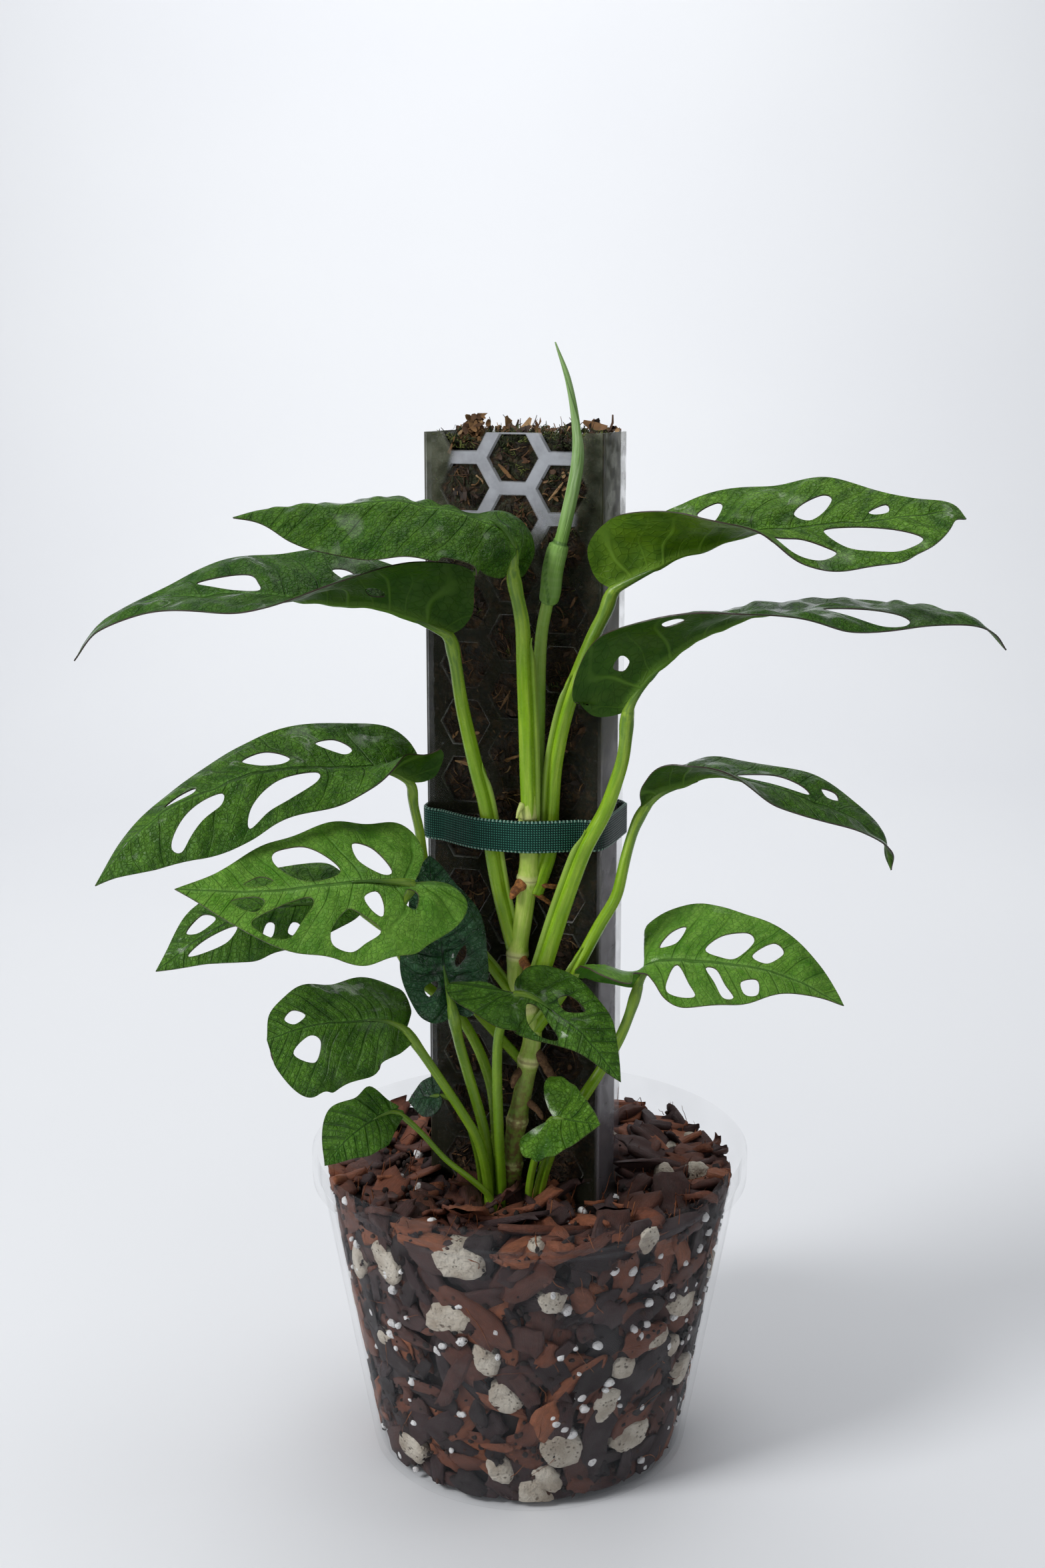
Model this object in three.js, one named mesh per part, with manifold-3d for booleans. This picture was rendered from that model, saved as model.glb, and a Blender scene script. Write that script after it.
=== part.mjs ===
// A swiss cheese vine, Monstera adansonii, tied to a moss-filled plastic pole in a clear pot.
// Millimetres, +Z up. The origin is the middle of the pot's base. The pole's flat front faces -Y.
import * as THREE from "three";
import { mergeVertices } from "three/addons/utils/BufferGeometryUtils.js";
import Module from "manifold-3d";

const wasm = await Module();
wasm.setup();

// Clearance between pieces that touch.
const CLEARANCE = 0.3;

// Pot: a plain tapered pot with a rim band and drainage holes.
const POT_HEIGHT = 130;
const POT_BASE_RADIUS = 66;
const POT_SHOULDER_RADIUS = 86.5;
const POT_RIM_RADIUS = 90;
const POT_RIM_BAND = 12;
const POT_WALL = 2;
const POT_FLOOR = 2.5;
const POT_SIDES = 32;
const DRAIN_COUNT = 6;
const DRAIN_RADIUS = 4;
const DRAIN_CIRCLE = 38;

// Growing mix: bark chips and pumice lumps bedded in a column that ends 14 mm under the rim.
const MIX_TOP = 116;
const BARK_CHIPS = 34;
const PUMICE_LUMPS = 10;

// Pole: a perforated front panel on a D-shaped back shell.
const POLE_WIDTH = 72;
const POLE_DEPTH = 42;
const POLE_SIDE_DEPTH = 28;
const POLE_FRONT_Y = -20;
const POLE_BOTTOM = 8;
const POLE_TOP = 420;
const POLE_WALL = 2;
const HEX_ACROSS_FLATS = 17.4;
const HEX_PITCH = 22.7;
const HEX_COLUMN_STEP = 19.7;
const HEX_FIRST_Z = 410.6;
const HEX_LAST_Z = 120;

// Strap: half-inch woven plant tape around the pole and the stems.
const STRAP_WIDTH = 12.5;
const STRAP_THICKNESS = 1.2;
const STRAP_MIDDLE_Z = 268;

// The leaves spread in a plane turned this far about Z from the pole's front.
const SHOOT_TURN = THREE.MathUtils.degToRad(20);
const BLADE_THICKNESS = 0.8;

const MATERIALS = {
  leaf: { color: 0x2f6420, roughness: 0.38 },
  paleLeaf: { color: 0x4c8a34, roughness: 0.42 },
  darkLeaf: { color: 0x153f24, roughness: 0.22 },
  rolledLeaf: { color: 0x84b178, roughness: 0.5 },
  stem: { color: 0x86a93e, roughness: 0.45 },
  moss: { color: 0x2e2413, roughness: 0.95 },
  clear: { color: 0xc6ccd4, roughness: 0.15 },
  strap: { color: 0x0c3f38, roughness: 0.6 },
  mix: { color: 0x5b3026, roughness: 0.9 },
};

const plant = new THREE.Group();

// Adds a closed body to the group under its own name.
function addPiece(name, geometry, look) {
  const material = new THREE.MeshStandardMaterial({ ...MATERIALS[look], metalness: 0 });
  const mesh = new THREE.Mesh(geometry, material);
  mesh.name = name;
  plant.add(mesh);
}

// Solids and geometries, for cutting and joining.
function solidOf(geometry) {
  const bare = new THREE.BufferGeometry();
  bare.setAttribute("position", geometry.getAttribute("position").clone());
  if (geometry.index) {
    bare.setIndex(geometry.index.clone());
  }
  const merged = mergeVertices(bare, 1e-4);
  return new wasm.Manifold(
    new wasm.Mesh({
      numProp: 3,
      vertProperties: new Float32Array(merged.attributes.position.array),
      triVerts: new Uint32Array(merged.index.array),
    }),
  );
}

function geometryOf(solid) {
  const mesh = solid.getMesh();
  const geometry = new THREE.BufferGeometry();
  geometry.setAttribute("position", new THREE.BufferAttribute(mesh.vertProperties, 3));
  geometry.setIndex(new THREE.BufferAttribute(mesh.triVerts, 1));
  geometry.computeVertexNormals();
  return geometry;
}

// The largest of the separate bodies in a solid.
function largest(solid) {
  const bodies = solid.decompose();
  return bodies.reduce((best, body) => (body.volume() > best.volume() ? body : best));
}

// A closed body from points and triangles, with its faces turned outwards.
function closedBody(points, triangles) {
  let volume = 0;
  for (const [a, b, c] of triangles) {
    volume += points[a].dot(new THREE.Vector3().crossVectors(points[b], points[c]));
  }
  const order = volume < 0 ? ([a, b, c]) => [a, c, b] : (t) => t;
  const geometry = new THREE.BufferGeometry().setFromPoints(points);
  geometry.setIndex(triangles.flatMap(order));
  return geometry;
}

// A repeatable random number from 0 to 1.
function randomFrom(seed) {
  let state = seed;
  return () => {
    state = (state * 1664525 + 1013904223) % 4294967296;
    return state / 4294967296;
  };
}

// Values given at rising places, read in between.
function valueAt(keys, place) {
  const last = keys[keys.length - 1];
  if (place <= keys[0][0]) {
    return keys[0].slice(1);
  }
  if (place >= last[0]) {
    return last.slice(1);
  }
  const next = keys.findIndex((key) => key[0] >= place);
  const [from, to] = [keys[next - 1], keys[next]];
  const share = (place - from[0]) / (to[0] - from[0]);
  return from.slice(1).map((value, i) => value + (to[i + 1] - value) * share);
}

function smoothCurve(points) {
  const vectors = points.map((p) => new THREE.Vector3(...p));
  return new THREE.CatmullRomCurve3(vectors, false, "catmullrom", 0.5);
}

function turned(vector) {
  return vector.applyAxisAngle(new THREE.Vector3(0, 0, 1), SHOOT_TURN);
}

// A round stalk of changing radius along a smooth curve; radii are [place, radius] pairs.
function stalk(points, radii, sides = 6, spacing = 14) {
  const curve = smoothCurve(points);
  const steps = Math.max(3, Math.round(curve.getLength() / spacing));
  const frames = curve.computeFrenetFrames(steps, false);
  const vertices = [];
  const triangles = [];
  for (let i = 0; i <= steps; i += 1) {
    const centre = curve.getPointAt(i / steps);
    const [radius] = valueAt(radii, i / steps);
    for (let k = 0; k < sides; k += 1) {
      const angle = (2 * Math.PI * k) / sides;
      const out = frames.normals[i].clone().multiplyScalar(Math.cos(angle) * radius);
      out.addScaledVector(frames.binormals[i], Math.sin(angle) * radius);
      vertices.push(turned(centre.clone().add(out)));
    }
  }
  for (let i = 0; i < steps; i += 1) {
    for (let k = 0; k < sides; k += 1) {
      const [a, b] = [i * sides + k, i * sides + ((k + 1) % sides)];
      triangles.push([a, b, b + sides], [a, b + sides, a + sides]);
    }
  }
  for (let k = 2; k < sides; k += 1) {
    const end = steps * sides;
    triangles.push([0, k, k - 1], [end, end + k - 1, end + k]);
  }
  return solidOf(closedBody(vertices, triangles));
}

// Leaves. A blade is drawn flat, with s along the midrib from the stalk and v across it, and is
// then bent along its midrib. Its near half is the one towards the viewer or the lower one.
// near and far give each half's rise from the level as [place, degrees]; up gives the upper
// face's direction as [place, x, y, z]; the edges and holes are [s, v] in millimetres.
const LEVEL = [[0, 0, 0, 1]];
const CURL = 0.6;

const LEAVES = [
  {
    name: "leaf_top_left",
    look: "leaf",
    side: -1,
    midrib: [
      [-7, -42, 371], [-6, -45, 379], [-11, -48, 387], [-23, -50, 392],
      [-47, -52, 396], [-71, -54, 396], [-95, -56, 394], [-107, -57, 391],
    ],
    up: [[0, 1, -0.5, 0.2], [0.1, 0.6, -0.2, 0.7], [0.22, 0, 0, 1]],
    near: [[0, -40], [0.12, -45], [0.3, -40], [1, -38]],
    far: [[0, 20], [0.12, 20], [0.25, 0], [1, -4]],
    nearEdge: [
      [-3, 4], [0, 12], [8, 19], [17, 23], [26, 21], [38, 22], [42, 25], [57, 25],
      [73, 25], [87, 23], [97, 17], [106, 8],
    ],
    farEdge: [
      [-4, 4], [-5, 8], [0, 12], [8, 15], [25, 19], [50, 19], [75, 16], [95, 9], [108, 4],
    ],
    holes: [],
    stalk: [
      [-7, -42, 371], [-5, -40, 361], [-3, -37, 350], [-2.4, -34.5, 334],
      [-1.4, -34, 308], [-0.6, -32, 281], [-0.5, -31, 272],
    ],
    radii: [[0, 2.2], [0.2, 2.8], [0.8, 3.2], [1, 3]],
  },
  {
    name: "leaf_upper_left",
    look: "leaf",
    side: -1,
    midrib: [
      [-30, -36, 346], [-39, -40, 351], [-51, -44, 356], [-68, -46, 359], [-92, -46, 361],
      [-117, -44, 362], [-142, -42, 358], [-160, -42, 350], [-170, -42, 337],
    ],
    near: [[0, 80], [0.1, 75], [0.2, 55], [0.28, 35], [0.4, 8], [0.5, -4], [1, -10]],
    far: [[0, 45], [0.3, 42], [0.55, 40], [0.7, 24], [0.85, 8], [1, 5]],
    nearEdge: [
      [-3, 5], [-3, 12], [2, 20], [7, 25], [20, 24], [36, 24], [51, 26], [65, 25],
      [80, 22], [103, 16], [125, 11], [142, 5],
    ],
    farEdge: [
      [-3, 6], [-4, 12], [6, 22], [25, 28], [47, 28], [64, 28], [84, 24], [100, 19],
      [112, 13], [126, 9], [141, 5],
    ],
    holes: [
      [[99, -8], [90, -10], [80, -11], [76, -7], [75, -2.5], [87, -2.5]],
      [[49, -16], [43, -17], [35, -11], [41, -10]],
      [[36, 11], [31, 10], [29, 6], [34, 6]],
    ],
    stalk: [
      [-30, -36, 346], [-28, -33, 333], [-26, -30, 318], [-21, -27, 294],
      [-17, -26.4, 278], [-14, -26.6, 257], [-11, -27, 241], [-6, -28, 221],
    ],
    radii: [[0, 2.2], [0.4, 2.8], [0.7, 3.2], [1, 3.2]],
  },
  {
    name: "leaf_middle_left",
    look: "leaf",
    side: -1,
    midrib: [
      [-45, -34, 289], [-52, -38, 294], [-64, -44, 297], [-80, -50, 298], [-97, -58, 298],
      [-111, -64, 295], [-132, -72, 287], [-146, -78, 276], [-157, -82, 261],
    ],
    near: [[0, 75], [0.06, 60], [0.14, 0], [0.24, -32], [0.5, -50], [1, -50]],
    far: [[0, 50], [0.2, 42], [0.5, 30], [0.7, 10], [1, 0]],
    nearEdge: [
      [-4, 3], [-6, 8], [-3, 16], [1, 17], [5, 12], [10, 12], [18, 17], [30, 18],
      [52, 20], [76, 23], [98, 23], [119, 14], [131, 4],
    ],
    farEdge: [
      [-3, 6], [-3, 13], [3, 20], [14, 24], [33, 24], [50, 22], [66, 18], [88, 13],
      [101, 9], [123, 4],
    ],
    holes: [
      [[66, -9], [57, -11], [49, -6], [53, -3], [61, -4]],
      [[38, -12], [31, -14], [25, -9], [29, -6]],
      [[40, 2.5], [42, 7], [54, 13], [64, 16], [74, 19], [70, 12], [58, 5], [48, 2.5]],
      [[78, 3], [80, 7], [89, 10], [103, 17], [106, 13], [95, 6], [86, 3]],
      [[99, -2], [93, -5], [86, -5], [88, -2]],
    ],
    stalk: [
      [-45, -34, 289], [-45, -30, 280], [-43, -25, 268], [-41, -21, 252], [-34, -19, 235],
      [-24, -20, 222], [-15, -22, 212], [-3, -27.5, 197],
    ],
    radii: [[0, 1.7], [1, 2.3]],
  },
  {
    name: "leaf_front_left",
    look: "paleLeaf",
    side: -1,
    midrib: [
      [-43, -66, 258], [-58, -72, 260], [-72, -76, 260], [-95, -82, 259], [-111, -86, 260],
      [-127, -90, 262],
    ],
    near: [[0, -48]],
    far: [[0, 48]],
    nearEdge: [
      [-8, -1], [-15, 0], [-20, 5], [-19, 11], [-14, 17], [-4, 23], [4, 29], [16, 30],
      [30, 30], [42, 26], [57, 19], [67, 13], [79, 5],
    ],
    farEdge: [
      [-3, 5], [-6, 13], [-4, 21], [1, 26], [8, 28], [20, 28], [32, 26], [46, 23],
      [61, 16], [74, 7],
    ],
    holes: [
      [[51, -12], [49, -17], [39, -18], [29, -9], [28, -4], [37, -2], [45, -5]],
      [[21, -17], [14, -15], [8, -5], [12, -3], [20, -9]],
      [[63, -3], [57, -6], [52, -4], [57, -2]],
      [[68, 4], [60, 2], [56, 4], [60, 8]],
      [[61, 12], [53, 7], [41, 4], [39, 7], [44, 13], [49, 18], [56, 17]],
      [[20, 6], [15, 4], [13, 9], [14, 14], [18, 11]],
      [[34, 18], [28, 11], [24, 11], [15, 19], [22, 23], [28, 26], [34, 24]],
      [[3, 3], [-1, 5], [1, 11], [5, 8]],
    ],
    stalk: [
      [-43, -66, 258], [-48, -57, 248], [-52, -46, 235], [-51, -36, 223], [-43, -28, 208],
      [-28, -26, 193], [-17, -25, 169], [-13.6, -24.6, 143], [-13.6, -24.6, 100],
    ],
    radii: [[0, 1.9], [1, 2.2]],
  },
  {
    name: "leaf_behind_left",
    look: "leaf",
    side: -1,
    midrib: [
      [-68, -40, 243], [-86, -42, 243], [-106, -46, 241], [-125, -50, 232], [-142, -54, 220],
    ],
    near: [[0, -48]],
    far: [[0, 40]],
    nearEdge: [[-3, 4], [3, 9], [16, 15], [38, 19], [52, 16], [66, 9], [75, 4]],
    farEdge: [[-3, 6], [4, 15], [12, 22], [26, 19], [42, 18], [54, 15], [62, 13], [73, 5]],
    holes: [
      [[64, -6], [56, -9], [52, -4], [60, -2.5]],
      [[68, 3], [58, 1.5], [46, 3], [52, 7], [62, 6]],
      [[37, 11], [34, 6], [31, 7], [33, 12]],
      [[26, 11], [24, 7], [21, 8], [23, 12]],
    ],
    stalk: [
      [-68, -40, 243], [-57, -36, 232], [-42, -29, 221], [-30, -23, 206], [-23, -21, 195],
      [-3, -27, 174],
    ],
    radii: [[0, 1.5], [1, 2]],
  },
  {
    name: "leaf_dark_centre",
    look: "darkLeaf",
    side: 1,
    midrib: [
      [-30, -40, 200], [-33, -40, 215], [-34, -40, 223], [-35, -37, 235], [-38, -34, 247],
      [-39, -32, 260],
    ],
    up: [[0, 0, -1, 0.2]],
    near: [[0, 0]],
    far: [[0, 0]],
    nearEdge: [[-3, 3], [-4, 6], [-2, 9], [5, 14], [14, 17], [32, 17], [42, 13], [52, 8], [58, 4]],
    farEdge: [[-3, 2], [-4, 6], [-3, 10], [2, 14], [16, 17], [30, 15], [45, 10], [56, 5]],
    holes: [
      [[17, 5], [21, 9], [26, 9], [21, 5]],
      [[7, -8], [10, -4], [13, -4], [11, -9]],
    ],
    stalk: [
      [-30, -41, 200], [-28, -36, 186], [-25, -33, 173], [-18, -30.5, 145], [-15.4, -29.6, 119],
      [-15, -29.5, 100],
    ],
    radii: [[0, 2], [1, 2.2]],
  },
  {
    name: "leaf_front_centre",
    look: "leaf",
    side: 1,
    midrib: [[-6, -49, 210], [1, -50, 208.5], [9, -54, 204], [21, -61, 196], [34, -68, 181]],
    near: [[0, -42]],
    far: [[0, 42], [1, 35]],
    nearEdge: [
      [-5, 0], [-12, -2], [-19, -1], [-25, 0], [-26, 3], [-21, 8], [-7, 14], [5, 16],
      [17, 14], [36, 6], [49, 2],
    ],
    farEdge: [[-1, 4], [0, 8], [7, 16], [17, 17], [32, 14], [46, 6]],
    holes: [
      [[15, -5], [18, -9], [26, -8], [21, -3]],
      [[6, 4], [12, 2.5], [19, 5], [26, 8], [19, 11], [11, 9]],
    ],
    stalk: [
      [-6, -49, 210], [-9, -45, 200], [-12, -41, 192], [-13, -37, 176], [-12.4, -34, 147],
      [-11.4, -32.8, 121], [-11.2, -32.8, 100],
    ],
    radii: [[0, 1.8], [1, 2.2]],
  },
  {
    name: "leaf_round_left",
    look: "leaf",
    side: -1,
    midrib: [[-48, -46, 194], [-56, -50, 199], [-68, -54, 200], [-81, -60, 201], [-99, -66, 197]],
    near: [[0, -61]],
    far: [[0, 40]],
    nearEdge: [
      [-3, 1], [-4, 4], [5, 15], [15, 20], [26, 24], [40, 26], [47, 26], [53, 20], [57, 9],
    ],
    farEdge: [[-2, 6], [-3, 12], [1, 20], [13, 21], [26, 19], [41, 18], [52, 11]],
    holes: [
      [[48, -6], [44, -9], [40, -5], [45, -2.5]],
      [[49, 8], [41, 3.5], [37, 7], [42, 14]],
    ],
    stalk: [
      [-48, -46, 194], [-40, -44, 181], [-33, -42, 169], [-27, -39.5, 158], [-20, -36.5, 143],
      [-16.4, -34.8, 121], [-16, -34.6, 100],
    ],
    radii: [[0, 1.7], [1, 2.1]],
  },
  {
    name: "leaf_small_left",
    look: "leaf",
    side: -1,
    midrib: [[-52, -42, 160], [-61, -48, 158], [-71, -54, 152], [-79, -60, 144]],
    near: [[0, -50]],
    far: [[0, 50]],
    nearEdge: [[-2, 2], [1, 5], [10, 11], [18, 11], [24, 9], [32, 4]],
    farEdge: [[-1, 1], [2, 5], [6, 13], [12, 11], [20, 14], [28, 9]],
    holes: [],
    stalk: [
      [-52, -42, 159], [-43, -43, 151], [-33, -42.5, 139], [-23, -41, 130], [-14.5, -38.6, 119],
      [-13.5, -38, 100],
    ],
    radii: [[0, 1], [1, 1.4]],
  },
  {
    name: "leaf_tiny_left",
    look: "darkLeaf",
    side: -1,
    midrib: [[-36, -26, 160], [-42, -22, 157], [-49, -18, 154]],
    near: [[0, -60]],
    far: [[0, 60]],
    nearEdge: [[-1.5, 3], [0, 6], [4, 8], [9, 7.5], [13, 4]],
    farEdge: [[-1.5, 3], [0, 6], [4, 8], [9, 7.5], [13, 4]],
    holes: [],
    stalk: [
      [-36, -26, 160], [-29, -27, 157], [-24.5, -27.5, 147], [-21, -26.5, 132], [-19.6, -25.5, 118],
      [-19.4, -25.4, 100],
    ],
    radii: [[0, 0.9], [1, 1.2]],
  },
  {
    name: "leaf_small_right",
    look: "paleLeaf",
    side: 1,
    midrib: [[9, -50, 160], [17, -54, 160], [27, -58, 160]],
    near: [[0, -50]],
    far: [[0, 60]],
    nearEdge: [[-3, 3], [-8, 7], [-11, 11], [-9, 16], [-3, 18], [4, 15], [9, 11], [15, 5]],
    farEdge: [[-3, 3], [-6, 8], [-7, 13], [-4, 16], [2, 15], [8, 12], [16, 5]],
    holes: [],
    stalk: [[9, -50, 160], [6, -44, 152], [2, -38, 138], [-0.5, -34.5, 122], [-1, -34, 100]],
    radii: [[0, 1.3], [1, 1.7]],
  },
  {
    name: "leaf_low_right",
    look: "leaf",
    side: 1,
    midrib: [
      [42, -36, 208], [43, -37, 213], [47, -39, 218], [56, -42, 221], [78, -46, 220],
      [98, -48, 216], [120, -50, 205],
    ],
    up: [[0, 0, 1, 0.1], [0.1, 0, 0, 1]],
    near: [[0, 10], [0.08, 5], [0.16, -30], [0.3, -38], [1, -38]],
    far: [[0, 20], [0.1, 50], [1, 50]],
    nearEdge: [
      [-1, 4], [-1, 10], [-1, 17], [1, 24], [5, 26], [8, 23], [9.5, 18], [9, 12],
      [8.5, 8], [11, 7], [14, 11], [18, 17], [25, 20], [33, 20], [42, 18], [52, 15],
      [65, 8], [80, 2],
    ],
    farEdge: [
      [4, 1], [7, 3], [8, 9], [9, 17], [13, 21], [23, 24], [33, 25], [44, 25], [62, 18],
      [75, 11], [85, 4],
    ],
    holes: [
      [[16, -6], [20, -12], [25, -14], [22, -7]],
      [[33, -5], [39, -12], [48, -15], [51, -11], [45, -3], [39, -2.5]],
      [[51, -5], [58, -12], [62, -9], [57, -3]],
      [[23, 2.5], [28, 10], [31, 16], [20, 15], [20, 8]],
      [[34, 3], [38, 3], [42, 9], [46, 14], [42, 15], [38, 9]],
      [[48, 7], [54, 5], [55, 11], [50, 12]],
      [[2, 4.5], [6, 4.5], [6, 8.5], [2, 8.5]],
    ],
    stalk: [
      [42, -36, 208], [39, -35, 197], [35, -34, 186], [29, -34, 175], [21, -34, 162],
      [12, -34, 148], [6, -33.5, 132], [3.5, -32.5, 119], [3, -32.5, 100],
    ],
    radii: [[0, 1.9], [0.5, 2.4], [1, 2.4]],
  },
  {
    name: "leaf_middle_right",
    look: "leaf",
    side: 1,
    midrib: [
      [44, -38, 281], [49, -42, 287], [59, -45, 291], [71, -46, 294], [89, -46, 290],
      [106, -46, 284], [125, -44, 275], [135, -42, 267], [138, -40, 256],
    ],
    up: [[0, -0.8, 0, 0.5], [0.1, 0, 0, 1]],
    near: [[0, 40], [0.15, 50], [0.25, 30], [0.35, 10], [0.45, -12], [1, -14]],
    far: [[0, 30], [0.2, 20], [0.35, 14], [0.6, 32], [0.85, 32], [1, 20]],
    nearEdge: [
      [-1, 2], [2, 4], [8, 9], [14, 14], [22, 16], [30, 16], [42, 16], [60, 14],
      [75, 12], [89, 8], [102, 5],
    ],
    farEdge: [
      [-2, 3], [0, 7], [7, 13], [18, 17], [32, 18], [45, 19], [60, 19], [77, 16],
      [90, 11], [101, 7], [108, 4],
    ],
    holes: [
      [[39, -2], [46, -7], [55, -10], [65, -7], [67, -3], [52, -2.5]],
      [[73, -10], [79, -11], [80, -7], [75, -6]],
    ],
    stalk: [
      [44, -38, 281], [40, -38, 273], [37, -38.5, 263], [35, -39, 254], [33, -38.5, 245],
      [27, -37.5, 234], [22, -37, 224], [17, -36, 214], [11, -34, 203], [0, -30, 186],
    ],
    radii: [[0, 1.8], [0.5, 2.4], [1, 2.7]],
  },
  {
    name: "leaf_upper_right",
    look: "leaf",
    side: 1,
    midrib: [
      [36, -48, 319], [38, -51, 325], [46, -54, 335], [57, -56, 345], [69, -56, 351],
      [86, -54, 356], [108, -50, 358], [133, -48, 357.5], [158, -46, 354.5],
      [170, -44, 349], [177, -42, 341],
    ],
    up: [[0, -1, 0.3, 0.2], [0.15, -0.2, 0, 1], [0.25, 0, 0, 1]],
    near: [
      [0, 70], [0.12, 72], [0.2, 52], [0.28, 34], [0.36, 16], [0.42, 8], [0.55, -8],
      [0.7, -15], [1, -12],
    ],
    far: [[0, 0], [0.12, 10], [0.3, 7], [0.5, 5], [1, 4]],
    nearEdge: [
      [-4, 6], [-5, 12], [-1, 18], [6, 23], [16, 25], [28, 24], [45, 24], [65, 24],
      [85, 23], [107, 20], [125, 14], [145, 7], [155, 3],
    ],
    farEdge: [
      [-3, 5], [-3, 12], [6, 20], [20, 24], [45, 26], [70, 26], [95, 25], [115, 21],
      [131, 15], [145, 9], [155, 4],
    ],
    holes: [
      [[87, 3], [103, 3], [114, 6], [118, 11], [115, 16], [107, 17], [98, 12]],
      [[34, 19], [38, 20], [39, 16], [34, 15]],
      [[12, 13], [17, 14], [17, 10], [13, 9]],
    ],
    stalk: [
      [36, -48, 319], [35, -46.5, 303], [32, -44.5, 291], [28, -42.5, 279], [21, -39.5, 265],
      [15, -37.5, 248], [10, -35.5, 232], [5, -33, 215], [0, -30, 200],
    ],
    radii: [[0, 2.2], [0.4, 3], [1, 3.6]],
  },
  {
    name: "leaf_top_right",
    look: "leaf",
    side: 1,
    midrib: [
      [30, -44, 364], [39, -47, 369], [49, -50, 374], [62, -50, 379], [80, -50, 385],
      [98, -50, 387], [119, -50, 389], [140, -50, 391], [152, -50, 393], [158, -50, 390],
    ],
    near: [
      [0, 85], [0.12, 72], [0.2, 60], [0.27, 44], [0.33, 28], [0.42, 10], [0.5, -16],
      [0.6, -26], [1, -28],
    ],
    far: [[0, 60], [0.2, 45], [0.33, 40], [0.5, 40], [0.7, 38], [1, 28]],
    nearEdge: [
      [-3, 5], [-3, 11], [0, 18], [8, 22], [16, 24], [27, 26], [37, 27], [48, 27],
      [60, 25], [75, 25], [90, 26], [104, 26], [112, 21], [118, 17], [128, 8],
    ],
    farEdge: [
      [-3, 5], [-3, 12], [6, 20], [20, 25], [36, 27], [55, 29], [73, 30], [85, 29],
      [95, 25], [112, 15], [127, 6],
    ],
    holes: [
      [[40, -18], [48, -21], [49, -17], [44, -11]],
      [[72, -7], [76, -13], [84, -17], [87, -14], [83, -7], [77, -3]],
      [[99, -5], [106, -9], [106, -4], [101, -3]],
      [[81, 4], [91, 3], [106, 7], [115, 13], [110, 18], [102, 20], [88, 15]],
      [[62, 14], [71, 9], [82, 15], [83, 18], [76, 21], [66, 20]],
    ],
    stalk: [
      [30, -44, 364], [28, -43, 356], [23, -40, 345], [14, -35, 319], [9.6, -31, 297],
      [8.2, -28.6, 278], [7.6, -28.2, 261], [2, -29.5, 244],
    ],
    radii: [[0, 2.2], [0.3, 3], [0.75, 3], [1, 3]],
  },
];

// The blade's bent surface, as a function of its flat coordinates.
function bladeSurface(leaf) {
  const curve = smoothCurve(leaf.midrib);
  const length = curve.getLength();
  const curl = THREE.MathUtils.degToRad(CURL);
  const droop = THREE.MathUtils.degToRad(5) / 12;
  const up = leaf.up ?? LEVEL;
  return {
    length,
    at(s, v) {
      const place = THREE.MathUtils.clamp(s / length, 0, 1);
      const point = curve.getPointAt(place);
      const along = curve.getTangentAt(place);
      const normal = new THREE.Vector3(...valueAt(up, place));
      normal.addScaledVector(along, -normal.dot(along)).normalize();
      const across = new THREE.Vector3().crossVectors(along, normal);
      across.multiplyScalar(leaf.side * Math.sign(v || 1));
      const behind = Math.max(0, -s);
      point.addScaledVector(along, -Math.sin(droop * behind) / droop);
      point.addScaledVector(normal, -(1 - Math.cos(droop * behind)) / droop);
      const [degrees] = valueAt(v < 0 ? leaf.far : leaf.near, place);
      const rise = THREE.MathUtils.degToRad(degrees);
      const bent = rise - curl * Math.abs(v);
      point.addScaledVector(across, (Math.sin(rise) - Math.sin(bent)) / curl);
      point.addScaledVector(normal, (Math.cos(bent) - Math.cos(rise)) / curl);
      const wave = Math.sin((6 * Math.PI * s) / length + (v < 0 ? 1.7 : 0));
      point.addScaledVector(normal, wave * (v / 25) ** 2);
      return point;
    },
  };
}

// Flat triangles over a set of points, each one's circle holding no other point.
function flatTriangles(points) {
  const far = 1e4;
  const all = [...points, [-far, -far], [far, -far], [0, far]];
  const count = points.length;
  const withCircle = (a, b, c) => {
    const [[ax, ay], [bx, by], [cx, cy]] = [all[a], all[b], all[c]];
    const twice = 2 * (ax * (by - cy) + bx * (cy - ay) + cx * (ay - by));
    const [a2, b2, c2] = [ax * ax + ay * ay, bx * bx + by * by, cx * cx + cy * cy];
    const x = (a2 * (by - cy) + b2 * (cy - ay) + c2 * (ay - by)) / twice;
    const y = (a2 * (cx - bx) + b2 * (ax - cx) + c2 * (bx - ax)) / twice;
    return { corners: [a, b, c], x, y, reach: Math.hypot(ax - x, ay - y) };
  };
  let triangles = [withCircle(count, count + 1, count + 2)];
  for (let i = 0; i < count; i += 1) {
    const [x, y] = all[i];
    const hit = triangles.filter((t) => Math.hypot(x - t.x, y - t.y) < t.reach);
    const edges = new Map();
    for (const { corners } of hit) {
      for (let k = 0; k < 3; k += 1) {
        const edge = [corners[k], corners[(k + 1) % 3]];
        const key = `${Math.min(...edge)},${Math.max(...edge)}`;
        edges.set(key, edges.has(key) ? null : edge);
      }
    }
    triangles = triangles.filter((t) => !hit.includes(t));
    for (const edge of edges.values()) {
      if (edge) {
        triangles.push(withCircle(edge[0], edge[1], i));
      }
    }
  }
  return triangles.map((t) => t.corners).filter((corners) => Math.max(...corners) < count);
}

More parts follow.
